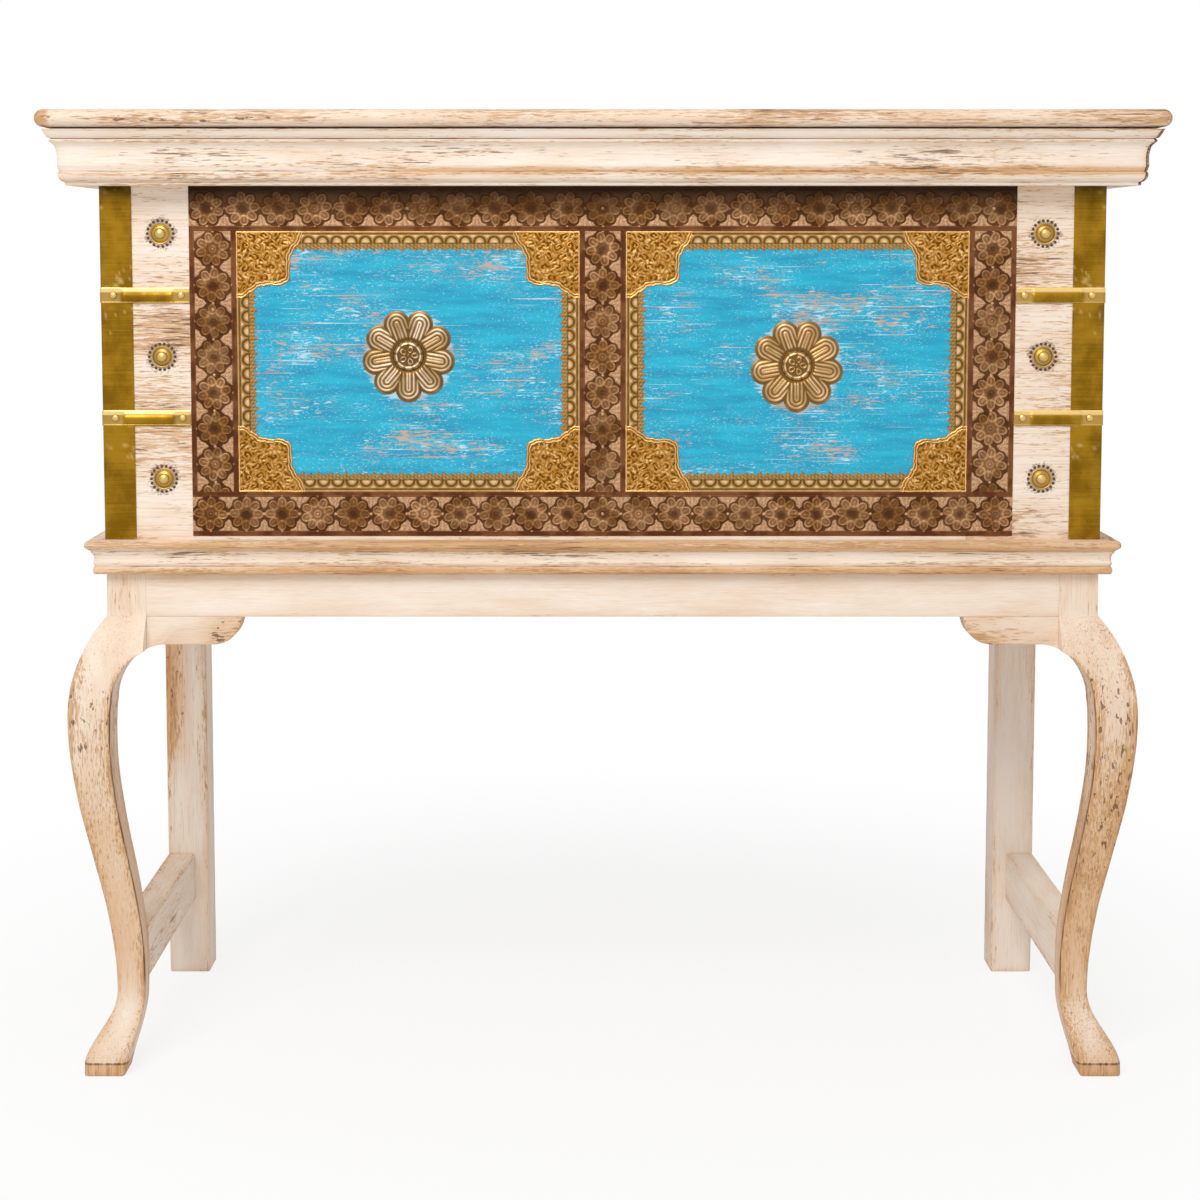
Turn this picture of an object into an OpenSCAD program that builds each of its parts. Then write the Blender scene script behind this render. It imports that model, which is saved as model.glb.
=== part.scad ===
/* [Box] */
// Width of the wooden box between its outer side faces
box_w = 998; // [900:2:1100]
// Depth of the wooden box from its front face to its back face
box_d = 354; // [300:2:440]
// Height of the box from the stand to its top edge
box_h = 408.5; // [380:0.5:460]
// Thickness of the side boards
side_t = 20; // [17:1:24]
// Thickness of the front frame
front_t = 22; // [20:1:28]
// Thickness of the back board
back_t = 18; // [16:1:24]
// Thickness of the bottom board
bottom_t = 12; // [8:1:18]
// Height of the bottom board's underside above the lower edge of the box
bottom_rise = 8; // [4:1:16]
// Depth of the grooves that hold the panels and the bottom board
groove = 8; // [4:1:10]

/* [Front] */
// Width of the front frame's upright at each side of the box
stile_w = 134.25; // [118:0.25:160]
// Height of the embossed strip between the panels and the cornice
strip_top_h = 44.5; // [36:0.5:56]
// Thickness of the painted panels
panel_t = 12; // [9:1:15]
// Thickness of the tongue around each panel
tongue_t = 5; // [3:0.5:7]
// Width of the middle member between the panels
muntin_w = 45.5; // [38:0.5:60]
// Height of the bottom rail
rail_h = 48; // [40:0.5:60]

/* [Lid] */
// Thickness of the lid board
lid_t = 17.2; // [14:0.2:24]
// Projection of the lid beyond the box at the front and the sides
lid_over = 53; // [49:1:70]
// Projection of the lid beyond the back of the box
lid_back = 28; // [24:1:34]
// Clear height between the lid and the top edge of the box
lid_gap = 0.3; // [0.2:0.1:1]
// Width of each batten under the lid
batten_w = 45; // [30:1:70]
// Thickness of each batten under the lid
batten_t = 15; // [10:1:22]
// Clear length between a batten and the front frame or the back board
batten_gap = 16; // [6:1:40]
// Distance of each batten from the middle of the lid
batten_x = 190; // [120:5:240]

/* [Cornice] */
// Height of the cornice moulding
cornice_h = 54.2; // [50:0.2:62]
// Projection of the cornice at its top
cornice_out = 46.6; // [40:0.2:48]
// Shadow gap between the cornice and the lid
cornice_gap = 1.6; // [1:0.1:3]

/* [Stand] */
// Height of the legs and of the top of the apron above the floor
leg_h = 511.5; // [470:0.5:560]
// Height of the apron boards
apron_h = 44.5; // [36:0.5:60]
// Thickness of the apron boards
apron_t = 22; // [18:1:26]
// Height of the moulded frame on top of the legs
base_h = 34; // [28:0.5:44]
// Projection of the moulded frame beyond the box
base_out = 18.7; // [16:0.1:26]
// Width of the moulded frame under the box
base_in = 60; // [50:1:90]
// Width of the square post at the top of each front leg
post = 39; // [34:0.5:46]
// Height of the arch from the front leg up to the knee bracket
arch_rise = 53.5; // [44:0.5:58]
// Length of the arch that runs on under the knee bracket
arch_lead = 19; // [12:1:26]
// Outward swing of the front legs at the knee
knee_out = 35; // [24:0.5:44]
// Height of the knee
knee_z = 370; // [345:1:378]
// Thickness of the front legs at the knee
knee_w = 42.5; // [38:0.5:46]
// Inward swing of the front legs at the ankle
ankle_in = 2.3; // [0:0.1:4]
// Height of the ankle
ankle_z = 80; // [66:1:84]
// Thickness of the front legs at the ankle
ankle_w = 28; // [24:0.5:34]
// Outward swing of the front feet
toe_out = 27; // [18:0.5:38]
// Width of the front feet on the floor
toe_w = 41.5; // [36:0.5:50]
// Width of the square rear legs
rear_leg = 46; // [40:1:56]
// Thickness of the side stretchers
stretcher_t = 30; // [22:1:36]
// Height of the side stretchers
stretcher_h = 54; // [40:1:60]
// Height of the stretchers' underside above the floor
stretcher_z = 86; // [82:1:120]
// Depth of the knee brackets below the apron
bracket_h = 28.5; // [24:0.5:34]
// Length of each knee bracket from the leg post
bracket_l = 96; // [70:1:130]
// Thickness of the knee brackets
bracket_t = 28; // [20:1:34]
// Radius of the dowels between the stand and the box
dowel_r = 3; // [2:0.5:4]
// Length of the dowels between the stand and the box
dowel_l = 28; // [16:2:40]

/* [Hinges] */
// Distance of each hinge from the middle of the lid
hinge_x = 330; // [260:5:400]
// Length of each hinge
hinge_l = 76; // [60:1:100]
// Thickness of the hinge leaves
leaf_t = 1.3; // [1:0.1:1.6]
// Height of the box leaf below the hinge axis
leaf_h = 27; // [24:1:36]
// Outer radius of the hinge knuckles
knuckle_r = 4; // [3.6:0.1:4.6]
// Radius of the hinge pin
pin_r = 2.2; // [1.8:0.1:2.4]
// Radial clearance between pin and knuckle
pin_fit = 0.05; // [0.02:0.01:0.09]
// Clearance between parts that turn past each other
swing_fit = 0.3; // [0.2:0.05:0.4]
// Shank radius of the hinge screws
screw_r = 1.6; // [1.2:0.1:1.8]
// Length of the hinge screws
screw_l = 12; // [9:0.5:13]

/* [Metalwork] */
// Width of each face of the corner plates
corner_w = 31; // [24:0.5:38]
// Thickness of the corner plates
corner_t = 1; // [0.8:0.1:1.6]
// Height of the corner straps
strap_h = 15.5; // [12:0.5:20]
// Clear length between the end of a strap and the embossed strip beside it
strap_gap = 0.5; // [0.3:0.1:6]
// Thickness of the straps over the corner plates
strap_t = 1.2; // [1:0.1:2]
// Bare height between the highest studs and the cornice
row_margin = 47; // [30:0.5:70]
// Distance of the outer strap nail from the corner
nail_near = 12; // [9:0.5:16]
// Distance of the inner strap nail from the end of the strap
nail_end = 8; // [6:0.5:12]
// Radius of the strap nail heads
nail_r = 3.8; // [3:0.1:4.5]
// Radius of the strap nail shanks
nail_shank_r = 1.1; // [0.8:0.1:1.5]
// Depth of the strap nails in the wood
nail_l = 7; // [5:0.5:8]
// Radius of the studs
stud_r = 10; // [8:0.5:13]
// Thickness of the flat ring around each stud
stud_ring_t = 1.2; // [0.8:0.1:2]
// Rise of the stud domes above their rings
stud_h = 4.5; // [3:0.5:6]
// Radius of the stud shanks
stud_shank_r = 1.6; // [1.2:0.1:2]
// Width of the upright embossed strips
strip_w = 46.5; // [38:0.5:52]
// Thickness of the embossed strips
strip_t = 1.2; // [0.8:0.1:2]
// Bare wood below the bottom strip
strip_foot = 3.5; // [2:0.5:10]
// Radius of the strip nail heads
tack_r = 2; // [1.5:0.1:3]
// Thickness of the strip nail heads
tack_t = 0.8; // [0.5:0.1:1.2]
// Radius of the strip nail shanks
tack_shank_r = 0.8; // [0.6:0.1:1.2]
// Depth of the strip nails in the wood
tack_l = 11; // [6:1:14]
// Width of the gilt border around each panel
edging_w = 17; // [12:0.5:22]
// Thickness of the gilt border and spandrels
gilt_t = 1; // [0.8:0.1:2]
// Length of each corner spandrel along the panel
spandrel_w = 64; // [50:1:80]
// Length of each corner spandrel up the panel
spandrel_h = 68; // [50:1:80]
// Radius of the rosettes
rosette_r = 44.5; // [32:0.5:55]
// Thickness of the rosettes at their petals
rosette_t = 2.5; // [1.5:0.5:5]
// Rise of the boss in the middle of the rosettes
rosette_rise = 3; // [1.5:0.5:5]
// Height of the left rosette above the middle of its panel
rosette_left_up = 6.5; // [-15:0.5:15]
// Height of the right rosette above the middle of its panel
rosette_right_up = -3.5; // [-15:0.5:15]

/* [Hidden] */
$fn = 48;

half_w = box_w / 2;
// The box face lies at y = 0 while building, and the whole is then centred on the floor
centre_y = (box_d + lid_back - lid_over) / 2;
box_z = leg_h + base_h;
box_top = box_z + box_h;
lid_z = box_top + lid_gap;
cornice_top = lid_z - cornice_gap;
cornice_z = cornice_top - cornice_h;
apron_z = leg_h - apron_h;
panel_z = box_z + rail_h;
panel_top = cornice_z - strip_top_h;
panel_h = panel_top - panel_z;
panel_w = half_w - stile_w - muntin_w / 2;
panel_x = (muntin_w + panel_w) / 2;
strip_half = half_w - stile_w + strip_w;
rear_y = box_d - rear_leg;

// Tenons are under half the board's thickness, end inside the post and leave a shoulder above and below
tenon_t = apron_t * 0.45;
tenon_l = post * 0.48;
tenon_shoulder = 7;

// Hinge axis, one knuckle radius and a clearance away from the back board and from the lid
axis_y = box_d + knuckle_r + swing_fit;
axis_z = lid_z - knuckle_r - swing_fit;
knuckles = 5;
knuckle_l = hinge_l / knuckles;

paint = "#efe6d8";
old_brass = "#a8832a";
gilt = "#c39a3c";
dark_copper = "#4f342c";
turquoise = "#1ba6d8";
bare_wood = "#c9a27a";

module place() {
    translate([0, -centre_y, 0]) children();
}

module both_sides() {
    children();
    mirror([1, 0, 0]) children();
}

module left_side() {
    mirror([1, 0, 0]) children();
}

// A box between two corners
module block(low, high) {
    translate(low) cube(high - low);
}

// A profile of [outward, height] points, run along the front of the box
module front_run(profile, length) {
    translate([length / 2, 0, 0]) rotate([90, 0, -90]) linear_extrude(length) polygon(profile);
}

// The same profile, run along the right side of the box
module side_run(profile, from_y, to_y) {
    translate([half_w, to_y, 0]) rotate([90, 0, 0]) linear_extrude(to_y - from_y) polygon(profile);
}

// Plan wedge that keeps what lies in front of the box, cut at 45 degrees at its corners
module front_mitre(reach, inward, low, high) {
    translate([0, 0, low]) linear_extrude(high - low)
        polygon([[-half_w - reach, -reach], [half_w + reach, -reach],
            [half_w - inward, inward], [-half_w + inward, inward]]);
}

// Plan wedge that keeps what lies beside the box on the right
module side_mitre(reach, inward, low, high) {
    translate([0, 0, low]) linear_extrude(high - low)
        polygon([[half_w + reach, -reach], [half_w + reach, box_d],
            [half_w - inward, box_d], [half_w - inward, inward]]);
}

// Points on an ellipse arc about a centre, from angle a to angle b in n steps
function arc(cx, cy, rx, ry, a, b, n) =
    [for (i = [0:n]) [cx + rx * cos(a + (b - a) * i / n), cy + ry * sin(a + (b - a) * i / n)]];

// A smooth step from a to b while t goes from 0 to 1
function wave(a, b, t) = a + (b - a) * (1 - cos(180 * min(1, max(0, t)))) / 2;

/* The front leg: one sawn outline, used in both planes.
   Distances are outward from the face of the box, heights from the floor. */
arch_reach = post + arch_lead;
arch_z = apron_z - bracket_h - arch_rise;
// The foot is upright below these heights, at its front and at its back
toe_z = 6;
heel_z = 20;

function swing(z) =
    z >= apron_z ? 0 :
    z >= knee_z ? knee_out * sin(90 * pow((apron_z - z) / (apron_z - knee_z), 0.8)) :
    z >= ankle_z ? wave(knee_out, -ankle_in, (knee_z - z) / (knee_z - ankle_z)) :
    wave(-ankle_in, toe_out, (ankle_z - z) / (ankle_z - toe_z));

function thickness(z) =
    z >= ankle_z ? ankle_w + (knee_w - ankle_w) * (z - ankle_z) / (knee_z - ankle_z) :
    wave(ankle_w, toe_w, (ankle_z - z) / (ankle_z - heel_z));

arch_run = arch_reach + swing(arch_z) - thickness(arch_z);
arch_end = acos((arch_reach - post) / arch_run);

flare_steps = 9;
shin_steps = 16;
foot_steps = 9;
arch_steps = 9;

leg_outline = concat(
    [[0, leg_h], [0, apron_z]],
    [for (i = [1:flare_steps]) let (z = apron_z - (apron_z - knee_z) * pow(i / flare_steps, 1.4))
        [swing(z), z]],
    [for (i = [1:shin_steps]) let (z = knee_z - (knee_z - ankle_z) * i / shin_steps) [swing(z), z]],
    [for (i = [1:foot_steps]) let (z = ankle_z - (ankle_z - toe_z) * i / foot_steps) [swing(z), z]],
    [[toe_out, 0], [toe_out - toe_w, 0]],
    [for (i = [0:foot_steps]) let (z = heel_z + (ankle_z - heel_z) * i / foot_steps)
        [swing(z) - thickness(z), z]],
    [for (i = [1:shin_steps]) let (z = ankle_z + (arch_z - ankle_z) * i / shin_steps)
        [swing(z) - thickness(z), z]],
    [for (i = [1:arch_steps]) let (a = arch_end * i / arch_steps)
        [-arch_reach + arch_run * cos(a), arch_z + arch_rise * sin(a)]],
    [[-post, leg_h]]);

// Right front leg before its mortises: the outline sawn through from the front and from the side
module leg_across() {
    translate([half_w, 2 * post, 0]) rotate([90, 0, 0]) linear_extrude(4 * post) polygon(leg_outline);
}

module leg_along() {
    mirror([0, 1, 0]) translate([half_w - 2 * post, 0, 0]) rotate([90, 0, 90])
        linear_extrude(4 * post) polygon(leg_outline);
}

// Tenons on the right, each one used by its board and cut from its leg
module apron_front_tenon() {
    block([half_w - post, (apron_t - tenon_t) / 2, apron_z + tenon_shoulder],
        [half_w - post + tenon_l, (apron_t + tenon_t) / 2, leg_h - tenon_shoulder]);
}

module apron_rear_tenon() {
    block([half_w - rear_leg, box_d - (apron_t + tenon_t) / 2, apron_z + tenon_shoulder],
        [half_w - rear_leg + tenon_l, box_d - (apron_t - tenon_t) / 2, leg_h - tenon_shoulder]);
}

module apron_side_tenons() {
    for (y = [[post - tenon_l, post], [rear_y, rear_y + tenon_l]])
        block([half_w - (apron_t + tenon_t) / 2, y[0], apron_z + tenon_shoulder],
            [half_w - (apron_t - tenon_t) / 2, y[1], leg_h - tenon_shoulder]);
}

// The stretcher's tenons are a third of the ankle and reach about halfway into it, and into the rear leg
ankle_y = ankle_in + ankle_w / 2;
module stretcher_tenons() {
    for (y = [[ankle_y, post], [rear_y - tenon_l, rear_y + tenon_l]])
        block([half_w - ankle_y - ankle_w / 6, y[0], stretcher_z + tenon_shoulder],
            [half_w - ankle_y + ankle_w / 6, y[1], stretcher_z + stretcher_h - tenon_shoulder]);
}

module front_leg() {
    color(paint) difference() {
        intersection() {
            leg_across();
            leg_along();
        }
        apron_front_tenon();
        apron_side_tenons();
        stretcher_tenons();
    }
}

module rear_leg_post() {
    color(paint) difference() {
        block([half_w - rear_leg, rear_y, 0], [half_w, box_d, leg_h]);
        apron_rear_tenon();
        apron_side_tenons();
        stretcher_tenons();
    }
}

module apron_front() {
    color(paint) {
        block([-half_w + post, 0, apron_z], [half_w - post, apron_t, leg_h]);
        both_sides() apron_front_tenon();
    }
}

module apron_rear() {
    color(paint) {
        block([-half_w + rear_leg, box_d - apron_t, apron_z], [half_w - rear_leg, box_d, leg_h]);
        both_sides() apron_rear_tenon();
    }
}

module apron_side() {
    color(paint) {
        block([half_w - apron_t, post, apron_z], [half_w, rear_y, leg_h]);
        apron_side_tenons();
    }
}

// Bracket outline on the right: quarter-round towards the middle, then the start of the leg's arch
module knee_bracket() {
    bracket_z = apron_z - bracket_h;
    end_x = half_w - post - bracket_l;
    outline = concat(
        [[half_w - post, apron_z]],
        arc(end_x + bracket_h, apron_z, bracket_h, bracket_h, 180, 270, 8),
        [for (i = [0:4]) let (a = 90 + (arch_end - 90) * i / 4)
            [half_w - arch_reach + arch_run * cos(a), arch_z + arch_rise * sin(a)]]);
    color(paint) translate([0, bracket_t, 0]) rotate([90, 0, 0]) linear_extrude(bracket_t)
        polygon(outline);
}

module stretcher() {
    color(paint) {
        difference() {
            block([half_w - stretcher_t, ankle_y + ankle_w / 6, stretcher_z],
                [half_w, rear_y, stretcher_z + stretcher_h]);
            leg_along();
        }
        stretcher_tenons();
    }
}

/* Moulded frame on top of the legs: cove, step and half-round, as shares of its projection and height */
base_step = base_out * 0.63;
base_foot = base_out * 0.47;
base_profile = concat(
    [[-base_in, 0], [base_foot, 0]],
    arc(base_step * 0.92, base_h * 0.08, base_step * 0.92 - base_foot, base_h * 0.18, 180, 90, 4),
    [[base_step, base_h * 0.57], [base_out * 0.78, base_h * 0.63]],
    arc(base_out * 0.78, base_h * 0.84, base_out * 0.22, base_h * 0.16, -60, 90, 6),
    [[-base_in, base_h]]);

// Dowels stand in the solid wood between the side's face and the groove of the bottom board
module dowels(extra) {
    for (y = [base_in, box_d - base_in])
        translate([half_w - (side_t - groove) / 2, y, box_z - dowel_l / 2])
            cylinder(r = dowel_r + extra, h = dowel_l);
}

module base_front() {
    color(paint) intersection() {
        translate([0, 0, leg_h]) front_run(base_profile, box_w + 4 * base_out);
        front_mitre(base_out * 2, base_in, leg_h, box_z);
    }
}

module base_side() {
    color(paint) difference() {
        intersection() {
            translate([0, 0, leg_h]) side_run(base_profile, -2 * base_out, box_d);
            side_mitre(base_out * 2, base_in, leg_h, box_z);
        }
        dowels(pin_fit);
    }
}

module base_rear() {
    color(paint)
        block([-half_w + base_in, box_d - base_in, leg_h], [half_w - base_in, box_d, box_z]);
}

module stand_dowels() {
    color(bare_wood) both_sides() dowels(0);
}

/* Box */
module bottom_board() {
    color(bare_wood)
        block([-half_w + side_t - groove, front_t - groove, box_z + bottom_rise],
            [half_w - side_t + groove, box_d - back_t + groove, box_z + bottom_rise + bottom_t]);
}

module side_board() {
    color(paint) difference() {
        block([half_w - side_t, front_t, box_z], [half_w, box_d, box_top]);
        bottom_board();
        dowels(pin_fit);
        strap_nail_holes();
    }
}

module back_board() {
    color(paint) difference() {
        block([-half_w + side_t, box_d - back_t, box_z], [half_w - side_t, box_d, box_top]);
        bottom_board();
        for (side = [-1, 1]) {
            block([side * hinge_x - hinge_l / 2 - swing_fit, box_d - back_t - 1, lid_z - leaf_t - swing_fit],
                [side * hinge_x + hinge_l / 2 + swing_fit, box_d + 1, box_top + 1]);
            box_screws(side, pin_fit);
        }
    }
}

module panel(x) {
    color(turquoise) translate([x, 0, 0]) {
        block([-panel_w / 2, 0, panel_z], [panel_w / 2, panel_t, panel_top]);
        block([-panel_w / 2 - groove, panel_t - tongue_t, panel_z - groove],
            [panel_w / 2 + groove, panel_t, panel_top + groove]);
    }
}

// Grooves in the front frame, the same shape as the tongues and the bottom board
module front_grooves() {
    for (side = [-1, 1]) translate([side * panel_x, 0, 0])
        block([-panel_w / 2 - groove, panel_t - tongue_t, panel_z - groove],
            [panel_w / 2 + groove, panel_t, panel_top + groove]);
    bottom_board();
}

module stile() {
    color(paint) difference() {
        block([half_w - stile_w, 0, box_z], [half_w, front_t, box_top]);
        front_grooves();
        strap_nail_holes();
        stud_shanks(pin_fit);
        for (p = nail_places) strip_nail_shank(p, pin_fit);
    }
}

module rail(low, high) {
    color(paint) difference() {
        block([-half_w + stile_w, 0, low], [half_w - stile_w, front_t, high]);
        front_grooves();
        for (p = nail_places) strip_nail_shank(p, pin_fit);
    }
}

module muntin() {
    color(paint) difference() {
        block([-muntin_w / 2, 0, panel_z], [muntin_w / 2, front_t, panel_top]);
        front_grooves();
        for (p = nail_places) strip_nail_shank(p, pin_fit);
    }
}

/* Cornice: slanted fillet, bead, long cove, ovolo and bottom fillet, as shares of its size */
cornice_bead = cornice_out * 0.86;
cornice_mid = cornice_out * 0.73;
cornice_foot = cornice_out * 0.61;
cornice_profile = concat(
    [[0, cornice_h], [cornice_out, cornice_h], [cornice_out * 0.905, cornice_h * 0.85],
        [cornice_bead, cornice_h * 0.835]],
    arc(cornice_bead - 2, cornice_h * 0.79, 2.6, cornice_h * 0.04, 80, -80, 5),
    arc(cornice_out * 0.815, cornice_h * 0.46, cornice_out * 0.815 - cornice_mid, cornice_h * 0.27,
        100, 205, 8),
    [[cornice_mid * 0.96, cornice_h * 0.24]],
    arc(cornice_foot, cornice_h * 0.2, cornice_mid - cornice_foot, cornice_h * 0.14, 10, -80, 5),
    [[cornice_foot, cornice_h * 0.06], [cornice_foot, 0], [0, 0]]);

module cornice_front() {
    color(paint) intersection() {
        translate([0, 0, cornice_z]) front_run(cornice_profile, box_w + 4 * cornice_out);
        front_mitre(cornice_out * 2, 0, cornice_z, cornice_top);
    }
}

module cornice_side() {
    color(paint) intersection() {
        translate([0, 0, cornice_z]) side_run(cornice_profile, -2 * cornice_out, box_d);
        side_mitre(cornice_out * 2, 0, cornice_z, cornice_top);
    }
}

/* Lid */
// The front edge and both side edges are fully rounded, with ball corners
module lid_board() {
    r = lid_t / 2;
    edge_x = half_w + lid_over - r;
    edge_y = -lid_over + r;
    back_y = box_d + lid_back;
    color(paint) difference() {
        union() {
            block([-edge_x, edge_y, lid_z], [edge_x, back_y, lid_z + lid_t]);
            translate([-edge_x, edge_y, lid_z + r]) rotate([0, 90, 0]) cylinder(r = r, h = 2 * edge_x);
            both_sides() {
                translate([edge_x, edge_y, lid_z + r]) rotate([-90, 0, 0])
                    cylinder(r = r, h = back_y - edge_y);
                translate([edge_x, edge_y, lid_z + r]) sphere(r = r);
            }
        }
        for (side = [-1, 1]) lid_screws(side, pin_fit);
    }
}

module lid_battens() {
    color(bare_wood) both_sides()
        block([batten_x - batten_w / 2, front_t + batten_gap, lid_z - batten_t],
            [batten_x + batten_w / 2, box_d - back_t - batten_gap, lid_z]);
}

/* Hinges: five knuckles, the outer and middle ones on the box leaf.
   Every second knuckle from the first is drawn, shorter at each end that faces a neighbour. */
module knuckle_row(side, first) {
    for (k = [first:2:knuckles - 1]) {
        low = k * knuckle_l + (k == 0 ? 0 : swing_fit / 2);
        high = (k + 1) * knuckle_l - (k == knuckles - 1 ? 0 : swing_fit / 2);
        translate([side * hinge_x - hinge_l / 2 + low, axis_y, axis_z])
            rotate([0, 90, 0]) cylinder(r = knuckle_r, h = high - low);
    }
}

// Room around the other leaf's knuckles, square so that the leaf is notched clear of them
module knuckle_room(side, first) {
    room = knuckle_r + swing_fit;
    for (k = [first:2:knuckles - 1])
        block([side * hinge_x - hinge_l / 2 + k * knuckle_l - swing_fit, axis_y - room - leaf_t,
                axis_z - room],
            [side * hinge_x - hinge_l / 2 + (k + 1) * knuckle_l + swing_fit, axis_y + room,
                axis_z + room + leaf_t]);
}

module pin_bore(side) {
    translate([side * hinge_x - hinge_l / 2 - 1, axis_y, axis_z]) rotate([0, 90, 0])
        cylinder(r = pin_r + pin_fit, h = hinge_l + 2);
}

// A countersunk screw pointing along -Z, its flat head at z = 0
module screw(extra) {
    head = 2 * screw_r;
    translate([0, 0, -leaf_t]) cylinder(r1 = screw_r + extra, r2 = head + extra, h = leaf_t);
    translate([0, 0, -screw_l]) cylinder(r = screw_r + extra, h = screw_l - leaf_t);
}

// Staggered screws, as shares of the leaf's length and of the width that lies on the wood
screw_spots = [[-0.36, 0.6], [0, 0.38], [0.36, 0.6]];

module box_screws(side, extra) {
    for (s = screw_spots)
        translate([side * hinge_x + s[0] * hinge_l, box_d + leaf_t,
                axis_z - knuckle_r - (leaf_h - knuckle_r) * s[1]])
            rotate([-90, 0, 0]) screw(extra);
}

module lid_screws(side, extra) {
    for (s = screw_spots)
        translate([side * hinge_x + s[0] * hinge_l, box_d - back_t * s[1], lid_z - leaf_t])
            rotate([180, 0, 0]) screw(extra);
}

module hinge_leaves_box() {
    color(old_brass) for (side = [-1, 1]) difference() {
        union() {
            difference() {
                block([side * hinge_x - hinge_l / 2, box_d, axis_z - leaf_h],
                    [side * hinge_x + hinge_l / 2, box_d + leaf_t, axis_z]);
                knuckle_room(side, 1);
            }
            knuckle_row(side, 0);
        }
        pin_bore(side);
        box_screws(side, pin_fit);
    }
}

module hinge_leaves_lid() {
    color(old_brass) for (side = [-1, 1]) difference() {
        union() {
            difference() {
                block([side * hinge_x - hinge_l / 2, box_d - back_t, lid_z - leaf_t],
                    [side * hinge_x + hinge_l / 2, axis_y, lid_z]);
                knuckle_room(side, 0);
            }
            knuckle_row(side, 1);
        }
        pin_bore(side);
        lid_screws(side, pin_fit);
    }
}

module hinge_pins() {
    color(old_brass) for (side = [-1, 1])
        translate([side * hinge_x - hinge_l / 2, axis_y, axis_z]) rotate([0, 90, 0])
            cylinder(r = pin_r, h = hinge_l);
}

module hinge_screws_box() {
    color(old_brass) for (side = [-1, 1]) box_screws(side, 0);
}

module hinge_screws_lid() {
    color(old_brass) for (side = [-1, 1]) lid_screws(side, 0);
}

/* Metalwork. Studs and straps take turns up the stile, in five even rows below the cornice. */
row_pitch = (cornice_z - box_z - row_margin) / 5;
stud_heights = [1, 3, 5] * row_pitch;
strap_heights = [2, 4] * row_pitch;
strap_l = stile_w - strip_w - strap_gap;
nail_far = strap_l - nail_end;

// A dome: the top of a ball, standing on a circle of radius r
module dome(r, rise) {
    ball = (r * r + rise * rise) / (2 * rise);
    intersection() {
        translate([0, 0, rise - ball]) sphere(r = ball);
        block([-2 * r, -2 * r, 0], [2 * r, 2 * r, 2 * rise]);
    }
}

module corner_plate() {
    color(old_brass) difference() {
        union() {
            block([half_w - corner_w, -corner_t, box_z], [half_w + corner_t, 0, cornice_z]);
            block([half_w, -corner_t, box_z], [half_w + corner_t, corner_w, cornice_z]);
        }
        strap_nail_holes();
    }
}

// A strap along the front and the side, seated on the corner plate and on the wood beside it
module straps() {
    proud = corner_t + strap_t;
    rib_half = strap_h * 0.3;
    rib_from = nail_near + nail_r * 1.6;
    rib_to = nail_far - nail_r * 1.6;
    color(old_brass) for (z = strap_heights + [1, 1] * box_z) difference() {
        union() {
            block([half_w - strap_l, -proud, z - strap_h / 2],
                [half_w + proud, -corner_t, z + strap_h / 2]);
            block([half_w - strap_l, -proud, z - strap_h / 2],
                [half_w - corner_w, 0, z + strap_h / 2]);
            block([half_w + corner_t, -proud, z - strap_h / 2],
                [half_w + proud, strap_l, z + strap_h / 2]);
            block([half_w, corner_w, z - strap_h / 2],
                [half_w + proud, strap_l, z + strap_h / 2]);
            translate([half_w - rib_to, -proud, z]) rotate([180, 0, 0]) rotate([0, 90, 0])
                half_rib(rib_half, rib_to - rib_from);
            translate([half_w + proud, rib_to, z]) rotate([0, 90, 0]) rotate([90, 0, 0])
                half_rib(rib_half, rib_to - rib_from);
        }
        strap_nail_holes();
    }
}

// A shallow round rib: a slice of a large circle, drawn out to a length
module half_rib(half, length) {
    rise = half * 0.4;
    r = (half * half + rise * rise) / (2 * rise);
    linear_extrude(length) intersection() {
        translate([0, rise - r]) circle(r = r);
        translate([-2 * half, 0]) square([4 * half, 2 * rise]);
    }
}

// Strap nails on the right: domed heads on the straps, short shanks into the wood
module strap_nail_shank(extra) {
    shank = corner_t + strap_t + nail_l;
    translate([0, 0, -shank]) cylinder(r = nail_shank_r + extra, h = shank);
}

module strap_nail() {
    dome(nail_r, nail_r * 0.5);
    strap_nail_shank(0);
}

module strap_nail_places() {
    proud = corner_t + strap_t;
    for (z = strap_heights + [1, 1] * box_z) for (n = [nail_near, nail_far]) {
        translate([half_w - n, -proud, z]) rotate([90, 0, 0]) children();
        translate([half_w + proud, n, z]) rotate([0, 90, 0]) children();
    }
}

module strap_nail_holes() {
    strap_nail_places() strap_nail_shank(pin_fit);
}

module strap_nails() {
    color(old_brass) both_sides() strap_nail_places() strap_nail();
}

// Studs, in the middle of the bare wood: a flat ring, a wide low dome and a smaller dome, on a stout shank
stud_in = (corner_w + stile_w - strip_w) / 2;
stud_shank_l = front_t * 0.7;
module stud_shanks(extra) {
    for (h = stud_heights)
        translate([half_w - stud_in, stud_shank_l, box_z + h]) rotate([90, 0, 0])
            cylinder(r = stud_shank_r + extra, h = stud_shank_l);
}

module studs() {
    color(old_brass) both_sides() {
        for (h = stud_heights) translate([half_w - stud_in, 0, box_z + h]) rotate([90, 0, 0]) {
            cylinder(r = stud_r, h = stud_ring_t);
            translate([0, 0, stud_ring_t]) dome(stud_r * 0.85, stud_h * 0.55);
            translate([0, 0, stud_ring_t]) dome(stud_r * 0.6, stud_h);
        }
        stud_shanks(0);
    }
}

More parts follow.
